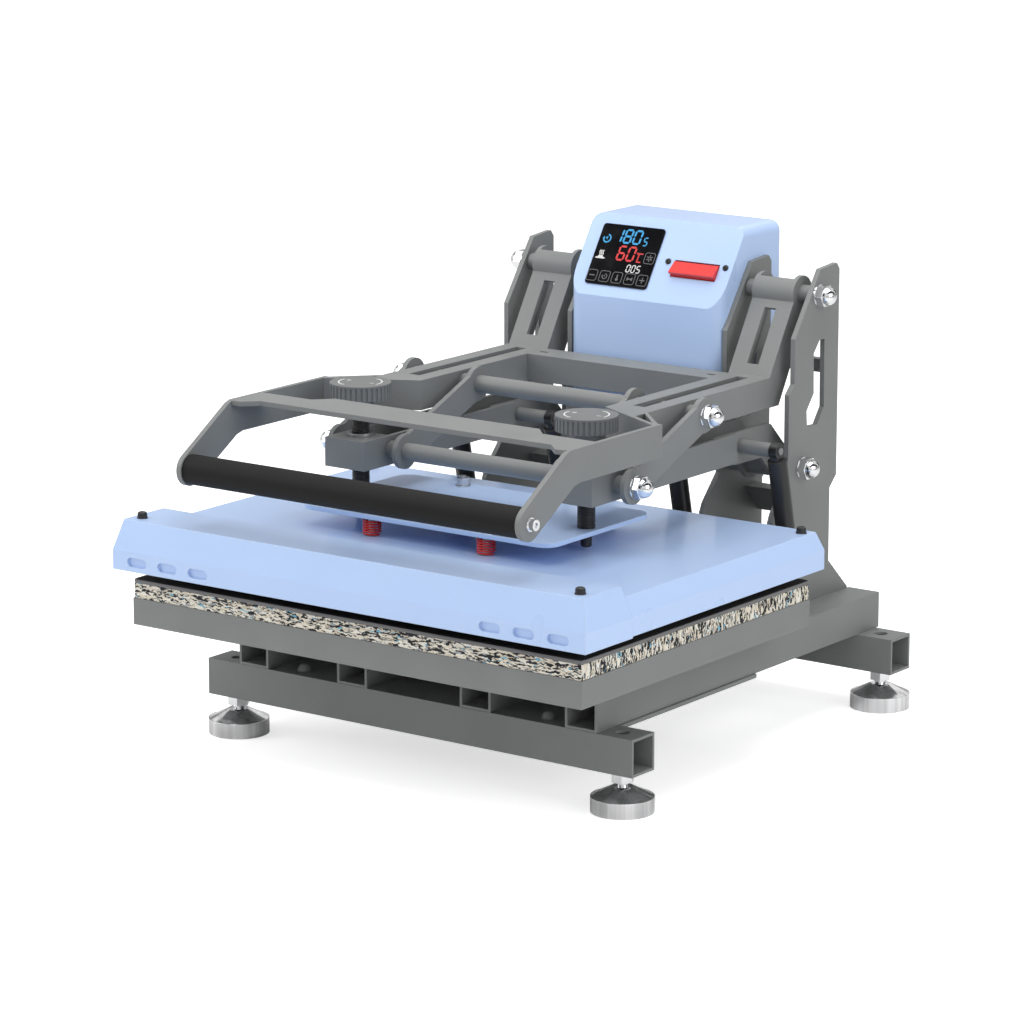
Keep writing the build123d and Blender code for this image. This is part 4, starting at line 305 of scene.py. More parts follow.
def coated(name, dark, light, edge_wear_and_highlight_colour, rough, peel_scale=700.0, peel_depth=0.00004, radius=0.001, dust=0.1,
           metal=0.0, coat=0.0, specular=0.5):
    """Paint or moulded plastic over a hard body."""
    made, tree, shader, coords = start_material(name)
    grain = use_group(tree, grain_group, coords, Peel_Scale=peel_scale)
    edge = use_group(tree, edge_group, coords, Radius=radius)
    veil = use_group(tree, dust_group, coords, Amount=dust)
    colour = mix_colour(tree, grain.outputs["Patches"], dark, light)
    # Paler edges: partly rubbed paint, partly a painted highlight.
    colour = mix_colour(tree, edge.outputs["Wear And Highlight"], colour, edge_wear_and_highlight_colour)
    colour = mix_colour(tree, veil.outputs["Dust"], colour, (0.62, 0.60, 0.56))
    tree.links.new(colour, shader.inputs["Base Color"])
    shine = add_range(tree, grain.outputs["Patches"], 0.0, 1.0, rough - 0.04, rough + 0.04)
    duller = add_math(tree, "ADD", shine.outputs["Result"], veil.outputs["Dust"])
    tree.links.new(duller.outputs["Value"], shader.inputs["Roughness"])
    bump = tree.nodes.new("ShaderNodeBump")
    bump.inputs["Distance"].default_value = peel_depth
    tree.links.new(grain.outputs["Height"], bump.inputs["Height"])
    tree.links.new(edge.outputs["Normal"], bump.inputs["Normal"])
    tree.links.new(bump.outputs["Normal"], shader.inputs["Normal"])
    shader.inputs["Metallic"].default_value = metal
    shader.inputs["Specular IOR Level"].default_value = specular
    shader.inputs["Coat Weight"].default_value = coat
    shader.inputs["Coat Roughness"].default_value = COAT_ROUGHNESS
    return made


# The fourth colour of each finish is its paler edge, partly rubbed paint and partly a painted highlight.
grey_paint = coated("grey_powder_coat", (0.188, 0.196, 0.195), (0.214, 0.224, 0.222), (0.30, 0.31, 0.31), 0.46)
blue_paint = coated(
    "pale_blue_paint", (0.464, 0.619, 0.918), (0.478, 0.633, 0.930), (0.76, 0.87, 1.0), 0.30,
    peel_scale=500.0, peel_depth=0.000015, radius=0.0013, dust=0.05, coat=0.35)
black_paint = coated("gloss_black_paint", (0.010, 0.010, 0.011), (0.016, 0.016, 0.017), (0.05, 0.05, 0.05), 0.30)
black_oxide = coated(
    "black_oxide_steel", (0.012, 0.012, 0.013), (0.022, 0.022, 0.023), (0.10, 0.10, 0.10), 0.38, metal=0.3, radius=0.0004)
knob_plastic = coated(
    "knob_plastic", (0.140, 0.148, 0.148), (0.160, 0.168, 0.168), (0.24, 0.25, 0.25), 0.50,
    peel_scale=1100.0, radius=0.0008)
black_plastic = coated("black_plastic", (0.012, 0.012, 0.013), (0.018, 0.018, 0.019), (0.06, 0.06, 0.06), 0.40, radius=0.0006)
red_plastic = coated(
    "red_switch_plastic", (0.68, 0.024, 0.022), (0.76, 0.034, 0.030), (0.85, 0.12, 0.10), 0.30,
    peel_scale=1500.0, peel_depth=0.00001, radius=0.0006, dust=0.0, coat=0.2)
red_spring_paint = coated("red_spring_coat", (0.60, 0.012, 0.012), (0.72, 0.022, 0.020), (0.80, 0.20, 0.18), 0.34, radius=0.0003)
board_green = coated("board_lacquer", (0.01, 0.10, 0.04), (0.02, 0.14, 0.06), (0.10, 0.20, 0.10), 0.35)
blanket_white = coated(
    "fibre_blanket", (0.66, 0.64, 0.58), (0.76, 0.74, 0.68), (0.80, 0.78, 0.74), 0.85, peel_scale=300.0, peel_depth=0.0004)
print("painted finishes:", len(bpy.data.materials))

# %% [markdown]
# Bare metal is told by its tool marks. Turned parts carry fine rings, plated nuts are almost mirrors
# with a few smears, and the underside of the heated plate has a dark slippery coating.

# %% Recipe: bare and plated metal
def bare_metal(name, colour, rough, line_scale, line_depth, smear=0.08, radius=0.0005, dark=0.92, streak=(1.0, 1.0, 1.0)):
    """Metal with fine machining lines, and smears that a stretch turns into streaks."""
    made, tree, shader, coords = start_material(name)
    lines = add_noise(tree, line_scale, 2.0)
    stretch = tree.nodes.new("ShaderNodeMapping")
    stretch.inputs["Scale"].default_value = (1.0, 0.06, 0.06)
    tree.links.new(coords, stretch.inputs["Vector"])
    tree.links.new(stretch.outputs["Vector"], lines.inputs["Vector"])
    smears = add_noise(tree, 40.0, 4.0, 0.6)
    smear_stretch = tree.nodes.new("ShaderNodeMapping")
    smear_stretch.inputs["Scale"].default_value = streak
    tree.links.new(coords, smear_stretch.inputs["Vector"])
    tree.links.new(smear_stretch.outputs["Vector"], smears.inputs["Vector"])
    edge = use_group(tree, edge_group, coords, Radius=radius)
    smear_tone = add_range(tree, smears.outputs["Fac"], 0.40, 0.60)
    shade = mix_colour(tree, smear_tone.outputs["Result"], tuple(c * dark for c in colour), colour)
    tree.links.new(shade, shader.inputs["Base Color"])
    shine = add_range(tree, smears.outputs["Fac"], 0.3, 0.7, rough, rough + smear)
    tree.links.new(shine.outputs["Result"], shader.inputs["Roughness"])
    bump = tree.nodes.new("ShaderNodeBump")
    bump.inputs["Distance"].default_value = line_depth
    tree.links.new(lines.outputs["Fac"], bump.inputs["Height"])
    tree.links.new(edge.outputs["Normal"], bump.inputs["Normal"])
    tree.links.new(bump.outputs["Normal"], shader.inputs["Normal"])
    shader.inputs["Metallic"].default_value = 1.0
    return made


chrome = bare_metal("chrome_plate", (0.90, 0.91, 0.92), 0.06, 900.0, 0.000004)
spun_chrome = bare_metal(
    "spun_chrome", (0.98, 0.98, 0.99), 0.09, 900.0, 0.000004, dark=0.70, streak=(1.7, 1.7, 0.02))
turned_steel = bare_metal("turned_steel", (0.56, 0.56, 0.57), 0.26, 3200.0, 0.00002)
plate_aluminium = bare_metal("coated_plate", (0.16, 0.15, 0.15), 0.40, 1500.0, 0.00001)
zinc_plate = bare_metal("zinc_plated_nut", (0.68, 0.69, 0.71), 0.20, 900.0, 0.000008)
print("metals:", chrome.name, spun_chrome.name, turned_steel.name, plate_aluminium.name, zinc_plate.name)

# %% [markdown]
# The lower pad is rebonded foam: chips of many foams pressed into one block, cream and white with
# black, grey and a few cyan ones. Cells of a Voronoi pattern make good chips when noise first bends
# the coordinates, because real chips are torn. Two sizes of chip keep the pattern from looking tiled,
# and the block was cut so that chips lie flat on its front and stand upright on its sides.

# %% Recipe: rebonded foam
CREAM, PALE_CREAM, TAN = (0.76, 0.70, 0.58), (0.84, 0.81, 0.73), (0.60, 0.53, 0.42)
BLACK_CHIP, GREY_CHIP, CYAN_CHIP = (0.022, 0.022, 0.026), (0.34, 0.36, 0.37), (0.20, 0.46, 0.60)
CHIP_COLOURS = [
    (0.00, CREAM), (0.22, PALE_CREAM), (0.40, BLACK_CHIP), (0.62, TAN), (0.68, BLACK_CHIP), (0.83, CREAM),
    (0.90, GREY_CHIP), (0.97, CYAN_CHIP),
]


def chip_layer(tree, coords, scale):
    """Random chip colours, the distance to each chip's edge and a random pick per chip."""
    cells = tree.nodes.new("ShaderNodeTexVoronoi")
    cells.inputs["Scale"].default_value = scale
    tree.links.new(coords, cells.inputs["Vector"])
    split = tree.nodes.new("ShaderNodeSeparateColor")
    tree.links.new(cells.outputs["Color"], split.inputs["Color"])
    ramp = tree.nodes.new("ShaderNodeValToRGB")
    ramp.color_ramp.interpolation = "CONSTANT"
    while len(ramp.color_ramp.elements) < len(CHIP_COLOURS):
        ramp.color_ramp.elements.new(0.5)
    for element, (place, colour) in zip(ramp.color_ramp.elements, CHIP_COLOURS):
        element.position = place
        element.color = (*colour, 1.0)
    tree.links.new(split.outputs["Red"], ramp.inputs["Fac"])
    return ramp.outputs["Color"], cells.outputs["Distance"], split.outputs["Green"]


CHIPS_ON_FRONT, CHIPS_ON_SIDE = (0.40, 1.2, 1.90), (1.2, 1.60, 0.50)
foam, foam_tree, foam_shader, foam_coords = start_material("rebonded_foam")
torn = add_noise(foam_tree, 160.0, 3.0, 0.6)
foam_tree.links.new(foam_coords, torn.inputs["Vector"])
bend = foam_tree.nodes.new("ShaderNodeVectorMath")
bend.operation = "MULTIPLY_ADD"
bend.inputs[1].default_value = (0.006, 0.006, 0.005)
foam_tree.links.new(torn.outputs["Color"], bend.inputs[0])
foam_tree.links.new(foam_coords, bend.inputs[2])
foam_side = foam_tree.nodes.new("ShaderNodeSeparateXYZ")
foam_tree.links.new(foam_tree.nodes["Texture Coordinate"].outputs["Normal"], foam_side.inputs["Vector"])
faces_sideways = add_math(foam_tree, "ABSOLUTE", foam_side.outputs["X"])
on_side = add_math(foam_tree, "GREATER_THAN", faces_sideways.outputs["Value"], 0.7)
chip_stretch = foam_tree.nodes.new("ShaderNodeMix")
chip_stretch.data_type = "VECTOR"
stretch_sockets = [s for s in chip_stretch.inputs if s.type == "VECTOR" and s.name in ("A", "B")]
stretch_sockets[0].default_value = CHIPS_ON_FRONT
stretch_sockets[1].default_value = CHIPS_ON_SIDE
foam_tree.links.new(on_side.outputs["Value"], chip_stretch.inputs["Factor"])
flat_chips = foam_tree.nodes.new("ShaderNodeVectorMath")
flat_chips.operation = "MULTIPLY"
foam_tree.links.new(bend.outputs["Vector"], flat_chips.inputs[0])
foam_tree.links.new([s for s in chip_stretch.outputs if s.type == "VECTOR"][0], flat_chips.inputs[1])
large_chips, large_depth, large_pick = chip_layer(foam_tree, flat_chips.outputs["Vector"], 290.0)
small_chips, small_depth, small_pick = chip_layer(foam_tree, flat_chips.outputs["Vector"], 520.0)
use_small = add_math(foam_tree, "GREATER_THAN", large_pick, 0.55)
foam_colour = mix_colour(foam_tree, use_small.outputs["Value"], large_chips, small_chips)
foam_tree.links.new(foam_colour, foam_shader.inputs["Base Color"])
foam_pores = add_noise(foam_tree, 900.0, 3.0, 0.7)
foam_tree.links.new(foam_coords, foam_pores.inputs["Vector"])
foam_height = add_math(foam_tree, "ADD", large_depth, foam_pores.outputs["Fac"])
foam_bump = foam_tree.nodes.new("ShaderNodeBump")
foam_bump.inputs["Distance"].default_value = 0.0004
foam_tree.links.new(foam_height.outputs["Value"], foam_bump.inputs["Height"])
foam_tree.links.new(foam_bump.outputs["Normal"], foam_shader.inputs["Normal"])
foam_shader.inputs["Roughness"].default_value = 0.92
print("foam chips in", len(CHIP_COLOURS), "colours")

# %% [markdown]
# The grip is a foam rubber sleeve and the pad is faced with a silicone sheet. Both are nearly black,
# so roughness and a fine pebble do most of the work; the sheet's cut rim is a paler copy of the same
# black silicone, painted light. The display is dark glass, very smooth, over lit marks.

# %% Recipe: rubber, glass and lit marks
grip_rubber = coated(
    "grip_rubber", (0.006, 0.006, 0.006), (0.009, 0.009, 0.009), (0.02, 0.02, 0.02), 0.66,
    peel_scale=1800.0, peel_depth=0.00008, dust=0.01, specular=0.25)
sheet_rubber = coated(
    "silicone_face", (0.030, 0.031, 0.033), (0.040, 0.041, 0.043), (0.10, 0.10, 0.10), 0.66,
    peel_scale=1300.0, peel_depth=0.00003, dust=0.04)
# A paler copy of the black silicone for the sheet's cut rim: painted light on the edge.
sheet_lit_rim = coated(
    "silicone_rim_painted_light", (0.15, 0.15, 0.155), (0.20, 0.20, 0.205), (0.24, 0.24, 0.24), 0.70, peel_scale=900.0)
dark_glass, glass_tree, glass_shader, glass_coords = start_material("dark_display_glass")
finger_marks = add_noise(glass_tree, 55.0, 4.0, 0.6)
glass_tree.links.new(glass_coords, finger_marks.inputs["Vector"])
glass_shine = add_range(glass_tree, finger_marks.outputs["Fac"], 0.4, 0.7, 0.05, 0.14)
glass_tree.links.new(glass_shine.outputs["Result"], glass_shader.inputs["Roughness"])
glass_tone = mix_colour(glass_tree, finger_marks.outputs["Fac"], (0.004, 0.004, 0.005), (0.008, 0.008, 0.009))
glass_tree.links.new(glass_tone, glass_shader.inputs["Base Color"])


def lit_mark(name, colour, strength):
    """Printed ink, or lit ink when it has strength, a little uneven like a real display."""
    made, tree, shader, coords = start_material(name)
    cloud = add_noise(tree, 220.0, 2.0)
    tree.links.new(coords, cloud.inputs["Vector"])
    tone = mix_colour(tree, cloud.outputs["Fac"], tuple(c * 0.82 for c in colour), colour)
    if strength:
        shader.inputs["Base Color"].default_value = (0.01, 0.01, 0.01, 1.0)
        tree.links.new(tone, shader.inputs["Emission Color"])
        shader.inputs["Emission Strength"].default_value = strength
    else:
        tree.links.new(tone, shader.inputs["Base Color"])
    shader.inputs["Roughness"].default_value = 0.5
    return made


cyan_light = lit_mark("cyan_segments", (0.03, 0.42, 0.84), 1.0)
red_light = lit_mark("red_segments", (0.84, 0.03, 0.035), 1.0)
white_light = lit_mark("white_segments", (0.86, 0.86, 0.86), 1.0)
# The printed key outlines glow rather than take light: a painted glow on ink that is no lamp.
key_print_painted_glow = lit_mark("key_outline_print_painted_glow", (0.16, 0.16, 0.17), 0.9)
white_print = lit_mark("white_print", (0.75, 0.76, 0.76), 0.0)
dark_print = lit_mark("dark_print", (0.03, 0.03, 0.03), 0.0)
PAPER_GLOW = 0.62
studio_paper, paper_tree, paper_shader, paper_coords = start_material("studio_paper")
paper_cloud = add_noise(paper_tree, 2.0, 2.0)
paper_tree.links.new(paper_coords, paper_cloud.inputs["Vector"])
paper_tone = mix_colour(paper_tree, paper_cloud.outputs["Fac"], (0.84, 0.84, 0.84), (0.86, 0.86, 0.86))
paper_tree.links.new(paper_tone, paper_shader.inputs["Base Color"])
paper_shader.inputs["Emission Color"].default_value = (1.0, 1.0, 1.0, 1.0)
paper_ray = paper_tree.nodes.new("ShaderNodeLightPath")
paper_glow = add_math(paper_tree, "MULTIPLY", paper_ray.outputs["Is Camera Ray"], PAPER_GLOW)
paper_tree.links.new(paper_glow.outputs["Value"], paper_shader.inputs["Emission Strength"])
paper_shader.inputs["Roughness"].default_value = 0.9
floor_mesh.materials.append(studio_paper)
print("materials in all:", len(bpy.data.materials))

# %% [markdown]
# The hard solids keep their shapes and only change their finish. A short list says which finish each
# one wears, so a reader can find any piece of the machine by its plain name.

# %% Finishes of the machine's own solids
finishes = {
    grey_paint: [
        "pad_tray", "base_rails", "front_foot_beam", "rear_foot_beam", "base_plate", "uprights", "upright_ties",
        "strut_brackets", "lower_arms", "screw_blocks", "arm_brackets", "link_plates", "upper_arms",
        "handle_plates", "handle_cross_plate", "rear_cross_channel", "pad_standoffs", "link_cross_tubes",
        "upper_arm_sleeves", "lower_arm_sleeves", "beam_bolts", "strut_pins"],
    blue_paint: ["platen_cover", "pressure_plate", "control_box", "control_box_back"],
    chrome: ["frame_nuts", "link_nuts", "foot_nuts", "grip_bolts"],
    spun_chrome: ["front_left_foot", "front_right_foot", "rear_left_foot", "rear_right_foot"],
    zinc_plate: ["lock_nuts"],
    turned_steel: [
        "frame_pivot_bolts", "link_rods", "spindle_bushes", "strut_rods", "heater_element", "backing_plate"],
    black_oxide: ["right_spindle", "left_spindle", "panel_screws"],
    black_paint: ["strut_cylinders"],
    black_plastic: ["cover_cap_nuts", "rocker_housing", "power_inlet", "power_relay"],
    knob_plastic: ["right_knob", "left_knob"],
    red_plastic: ["power_rocker"],
    red_spring_paint: ["die_springs"],
    plate_aluminium: ["heating_plate"],
    blanket_white: ["insulation_blanket"],
    board_green: ["control_board"],
    grip_rubber: ["grip"],
    dark_glass: ["display_glass"],
    foam: ["pad_foam"],
    sheet_rubber: ["pad_sheet"],
}
for finish, names in finishes.items():
    for name in names:
        mesh = nodes[name].data
        mesh.materials.clear()
        mesh.materials.append(finish)
dressed = [name for names in finishes.values() for name in names]
print("dressed", len(dressed), "of", len(nodes), "nodes, left:", sorted(set(nodes) - set(dressed)))

# %% [markdown]
# Small pieces made here need a home. One helper turns a finished bmesh into an object at the origin,
# recalculates its outside, gives it its finish and lets it ride on the machine's body that carries it.

# %% Helper: a finished piece
def smooth_by_angle(mesh, degrees):
    """Smooth shading with sharp edges where faces meet steeply."""
    mesh.shade_smooth()
    mesh.set_sharp_from_angle(angle=math.radians(degrees))


def finished(name, work, body, finishes_used, instead_of=(), sharp=35.0):
    """Make the piece from its bmesh and hand it to the frame."""
    bmesh.ops.recalc_face_normals(work, faces=work.faces)
    mesh = bpy.data.meshes.new(name)
    work.to_mesh(mesh)
    work.free()
    for finish in finishes_used:
        mesh.materials.append(finish)
    smooth_by_angle(mesh, sharp)
    piece = bpy.data.objects.new(name, mesh)
    bpy.context.scene.collection.objects.link(piece)
    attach(piece, body)
    if instead_of:
        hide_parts(*instead_of)
    print(name, "faces:", len(mesh.polygons), "rides on", body)
    return piece


def lathe(work, profile, centre, steps=48):
    """Turn a closed (radius, height) profile about the vertical line through centre."""
    rings = []
    for i in range(steps):
        turn = 2 * math.pi * i / steps
        ring = []
        for radius, height in profile:
            offset = Vector((radius * math.cos(turn), radius * math.sin(turn), height)) * MM
            ring.append(work.verts.new(Vector(centre) + offset))
        rings.append(ring)
    count = len(profile)
    for i in range(steps):
        here, after = rings[i], rings[(i + 1) % steps]
        for j in range(count):
            k = (j + 1) % count
            work.faces.new((here[j], here[k], after[k], after[j]))
    bmesh.ops.remove_doubles(work, verts=work.verts, dist=1e-6)


# %% [markdown]
# The foam block of the lower pad shows its chips on the front and the side. A plain box would look
# printed, so its skin is a fine grid whose points are pushed in and out by noise, more on the cut
# sides than on the flat faces that the tray and the sheet press against.

# %% The rebonded foam block
PAD_HALF_WIDTH = 300.0
PAD_DEPTH = 430.0
FOAM_LOW, FOAM_HIGH = 30.3, 47.0
SHEET_LOW, SHEET_HIGH = 47.3, 51.3


def cushion_slab(low, high, cell, layers, corner, bulge):
    """Closed slab in millimetres with rounded upright corners and a grid on every side."""
    work = bmesh.new()
    width, depth = high[0] - low[0], high[1] - low[1]
    across, along = round(width / cell), round(depth / cell)
    outline = []
    for i in range(across):
        outline.append((low[0] + width * i / across, low[1]))
    for i in range(along):
        outline.append((high[0], low[1] + depth * i / along))
    for i in range(across):
        outline.append((high[0] - width * i / across, high[1]))
    for i in range(along):
        outline.append((low[0], high[1] - depth * i / along))

    def rounded(x, y, inset):
        cx = min(max(x, low[0] + corner), high[0] - corner)
        cy = min(max(y, low[1] + corner), high[1] - corner)
        dx, dy = x - cx, y - cy
        reach = max(abs(dx), abs(dy))
        length = math.hypot(dx, dy)
        if reach == 0:
            return x, y
        scale = (reach - inset) / length if length else 0
        return cx + dx * scale, cy + dy * scale

    rings = []
    for j in range(layers + 1):
        share = j / layers
        swell = bulge * (1 - (2 * share - 1) ** 2) - bulge
        z = low[2] + (high[2] - low[2]) * share
        rings.append([work.verts.new((*rounded(x, y, -swell), z)) for x, y in outline])
    count = len(outline)
    for lower, upper in zip(rings, rings[1:]):
        for i in range(count):
            k = (i + 1) % count
            work.faces.new((lower[i], lower[k], upper[k], upper[i]))
    for ring, z in ((rings[0], low[2]), (rings[-1], high[2])):
        grid = []
        for j in range(along + 1):
            row = []
            for i in range(across + 1):
                if j == 0:
                    vert = ring[i]
                elif j == along:
                    vert = ring[(2 * across + along - i) % count]
                elif i == 0:
                    vert = ring[(count - j) % count]
                elif i == across:
                    vert = ring[across + j]
                else:
                    vert = work.verts.new((low[0] + width * i / across, low[1] + depth * j / along, z))
                row.append(vert)
            grid.append(row)
        for j in range(along):
            for i in range(across):
                work.faces.new((grid[j][i], grid[j][i + 1], grid[j + 1][i + 1], grid[j + 1][i]))
    return work


foam_work = cushion_slab((-PAD_HALF_WIDTH, 0, FOAM_LOW), (PAD_HALF_WIDTH, PAD_DEPTH, FOAM_HIGH), 4.0, 6, 3.0, 0.6)
foam_work.normal_update()
for vert in foam_work.verts:
    rough = noise.noise(vert.co * 0.16) * 0.5 + noise.noise(vert.co * 0.45) * 0.3
    side = 1.0 - abs(vert.normal.z)
    push = rough * (0.9 * side + 0.12 * (1 - side)) - 0.3 * side - 0.1 * (1 - side)
    vert.co = at(*(vert.co + vert.normal * push))
foam_block = finished("foam_block", foam_work, "stand", [foam], ["pad_foam"], 60.0)

# %% [markdown]
# On the foam lies a silicone sheet, dark above, with a paler cut rim that is painted light on the black silicone. It
# is a thin slab with a barely wavy top, because rubber that lies on foam is never perfectly flat. Its rim gets the
# paler finish, a lighter copy of the black silicone.

# %% The silicone sheet
sheet_work = cushion_slab((-PAD_HALF_WIDTH, 0, SHEET_LOW), (PAD_HALF_WIDTH, PAD_DEPTH, SHEET_HIGH), 8.0, 3, 4.0, 0.5)
sheet_work.normal_update()
# Side faces take the paler copy of the silicone: painted light on the rim.
for face in sheet_work.faces:
    if abs(face.normal.z) < 0.5:
        face.material_index = 1
for vert in sheet_work.verts:
    wave = noise.noise(vert.co * 0.02) * 0.12 - 0.12
    if vert.co.z < (SHEET_LOW + SHEET_HIGH) / 2:
        wave = 0.0
    vert.co = at(vert.co.x, vert.co.y, vert.co.z + wave)
silicone_sheet = finished(
    "silicone_sheet", sheet_work, "stand", [sheet_rubber, sheet_lit_rim], ["pad_sheet"], 50.0)

# %% [markdown]
# The pressure screws have a coarse thread, black from its oxide bath. A thread follows a helix, so
# Geometry Nodes sweep a small ridge along a spiral round a plain core. The tree's inputs are the
# winding's radius, turns and length and the ridge's size, so the same tree winds the springs too.

# %% Geometry Nodes: a wire wound on a cylinder
def geometry_tree(name, inputs):
    """A geometry tree with named inputs and one geometry output."""
    tree = bpy.data.node_groups.new(name, "GeometryNodeTree")
    for label, kind, value in inputs:
        socket = tree.interface.new_socket(label, in_out="INPUT", socket_type=kind)
        if value is not None:
            socket.default_value = value
    tree.interface.new_socket("Geometry", in_out="OUTPUT", socket_type="NodeSocketGeometry")
    return tree, tree.nodes.new("NodeGroupInput"), tree.nodes.new("NodeGroupOutput")


def grow(name, tree, values):
    """Run a tree with these inputs and return the plain mesh it makes."""
    seed_mesh = bpy.data.meshes.new(name + "_seed")
    grower = bpy.data.objects.new(name + "_grower", seed_mesh)
    bpy.context.scene.collection.objects.link(grower)
    modifier = grower.modifiers.new("grow", "NODES")
    modifier.node_group = tree
    for item in tree.interface.items_tree:
        if item.in_out == "INPUT" and item.name in values:
            modifier[item.identifier] = values[item.name]
    bpy.context.view_layer.update()
    graph = bpy.context.evaluated_depsgraph_get()
    grown = bpy.data.meshes.new_from_object(grower.evaluated_get(graph), depsgraph=graph)
    grower.modifiers.remove(modifier)
    bpy.data.objects.remove(grower)
    bpy.data.meshes.remove(seed_mesh)
    print(name, "grew", len(grown.polygons), "faces")
    return grown


def link_all(tree, pairs):
    for start, end in pairs:
        tree.links.new(start, end)


winding_tree, winding_in, winding_out = geometry_tree("wound_wire", [
    ("Radius", "NodeSocketFloat", 0.0094), ("Wire Radius", "NodeSocketFloat", 0.0005), ("Sides", "NodeSocketInt", 6),
    ("Turns", "NodeSocketFloat", 10.0), ("Length", "NodeSocketFloat", 0.04),
    ("Finish", "NodeSocketMaterial", None)])
spiral = winding_tree.nodes.new("GeometryNodeCurveSpiral")
spiral.inputs["Resolution"].default_value = 32
profile = winding_tree.nodes.new("GeometryNodeCurvePrimitiveCircle")
sweep_wire = winding_tree.nodes.new("GeometryNodeCurveToMesh")
sweep_wire.inputs["Fill Caps"].default_value = True
winding_real = winding_tree.nodes.new("GeometryNodeRealizeInstances")
winding_paint = winding_tree.nodes.new("GeometryNodeSetMaterial")
link_all(winding_tree, [
    (winding_in.outputs["Turns"], spiral.inputs["Rotations"]),
    (winding_in.outputs["Radius"], spiral.inputs["Start Radius"]),
    (winding_in.outputs["Radius"], spiral.inputs["End Radius"]),
    (winding_in.outputs["Length"], spiral.inputs["Height"]),
    (winding_in.outputs["Wire Radius"], profile.inputs["Radius"]),
    (winding_in.outputs["Sides"], profile.inputs["Resolution"]),
    (spiral.outputs["Curve"], sweep_wire.inputs["Curve"]),
    (profile.outputs["Curve"], sweep_wire.inputs["Profile Curve"]),
    (sweep_wire.outputs["Mesh"], winding_real.inputs["Geometry"]),
    (winding_real.outputs["Geometry"], winding_paint.inputs["Geometry"]),
    (winding_in.outputs["Finish"], winding_paint.inputs["Material"]),
    (winding_paint.outputs["Geometry"], winding_out.inputs["Geometry"]),
])
print("winding tree inputs:", [i.name for i in winding_tree.interface.items_tree if i.in_out == "INPUT"])

# %% [markdown]
# Each pressure screw is a turned bar: a shoulder that bears on the pressure plate, a thinner tail
# with a retaining ring below, and the thread above. Its core is turned on the lathe helper and its
# thread comes from the tree, and both go into one mesh, so the screw turns as one piece.

# %% The two pressure screws
SCREW_X, SCREW_Y = 152.5, 216.0
THREAD_PITCH = 2.5
SHOULDER_Z, COLLAR_Z, SCREW_TOP = 130.0, 134.0, 226.8
TAIL_PROFILE = [
    (0.0, -20.9), (4.6, -20.9), (6.1, -19.6), (6.1, -6.8), (8.1, -6.7), (8.1, -5.3), (6.1, -5.2), (6.1, 0.05),
    (9.8, 0.05), (9.8, 3.4), (9.3, 4.0), (9.3, 96.8), (0.0, 96.8),
]
for side_name, side in (("right", 1), ("left", -1)):
    screw_work = bmesh.new()
    lathe(screw_work, TAIL_PROFILE, at(side * SCREW_X, SCREW_Y, SHOULDER_Z))
    turns = (SCREW_TOP - COLLAR_Z - 2.0) / THREAD_PITCH
    thread_mesh = grow(side_name + "_thread", winding_tree, {
        "Radius": 9.25 * MM, "Wire Radius": 0.72 * MM, "Sides": 6, "Turns": turns,
        "Length": turns * THREAD_PITCH * MM, "Finish": black_oxide})
    thread_mesh.transform(Matrix.Translation(at(side * SCREW_X, SCREW_Y, COLLAR_Z + 1.0)))
    screw_work.from_mesh(thread_mesh)
    finished(side_name + "_pressure_screw", screw_work, side_name + "_pressure_screw",
             [black_oxide], [side_name + "_spindle"])

# %% [markdown]
# Four red springs hold the platen down and let it float. They are the same winding with a thicker
# wire. When the platen rises, a real spring shortens between its seats; here the piece only rides on the
# plate above and keeps its length.

# %% The four springs
SPRING_X, SPRING_ROWS_Y = 77.0, (139.0, 303.0)
SPRING_FOOT, SPRING_HEAD = 105.5, 124.5
SPRING_RADIUS, SPRING_WIRE, SPRING_TURNS = 10.5, 2.0, 6.0
coil_mesh = grow("spring", winding_tree, {
    "Radius": (SPRING_RADIUS - SPRING_WIRE / 2) * MM, "Wire Radius": SPRING_WIRE / 2 * MM, "Sides": 10,
    "Turns": SPRING_TURNS, "Length": (SPRING_HEAD - SPRING_FOOT - SPRING_WIRE) * MM, "Finish": red_spring_paint})
springs_work = bmesh.new()
for x in (-SPRING_X, SPRING_X):
    for y in SPRING_ROWS_Y:
        one_coil = coil_mesh.copy()
        one_coil.transform(Matrix.Translation(at(x, y, SPRING_FOOT + SPRING_WIRE / 2)))
        springs_work.from_mesh(one_coil)
        bpy.data.meshes.remove(one_coil)
springs = finished(
    "pressure_springs", springs_work, "pressure_carrier", [red_spring_paint], ["die_springs"])
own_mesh(springs)

# %% [markdown]
# Four black cap nuts hold the platen's cover. They are the same small moulded cap four times, which
# is what instances are for: the tree puts one cap at every point of a list and makes it real.

# %% Geometry Nodes: the same small thing in several places
scatter_tree, scatter_in, scatter_out = geometry_tree("repeat_at_points", [
    ("Places", "NodeSocketObject", None), ("Thing", "NodeSocketObject", None),
    ("Size", "NodeSocketFloat", 1.0), ("Finish", "NodeSocketMaterial", None)])
places_info = scatter_tree.nodes.new("GeometryNodeObjectInfo")
thing_info = scatter_tree.nodes.new("GeometryNodeObjectInfo")
put = scatter_tree.nodes.new("GeometryNodeInstanceOnPoints")
put_real = scatter_tree.nodes.new("GeometryNodeRealizeInstances")
put_paint = scatter_tree.nodes.new("GeometryNodeSetMaterial")
link_all(scatter_tree, [
    (scatter_in.outputs["Places"], places_info.inputs["Object"]),
    (scatter_in.outputs["Thing"], thing_info.inputs["Object"]),
    (places_info.outputs["Geometry"], put.inputs["Points"]),
    (thing_info.outputs["Geometry"], put.inputs["Instance"]),
    (scatter_in.outputs["Size"], put.inputs["Scale"]),
    (put.outputs["Instances"], put_real.inputs["Geometry"]),
    (put_real.outputs["Geometry"], put_paint.inputs["Geometry"]),
    (scatter_in.outputs["Finish"], put_paint.inputs["Material"]),
    (put_paint.outputs["Geometry"], scatter_out.inputs["Geometry"]),
])


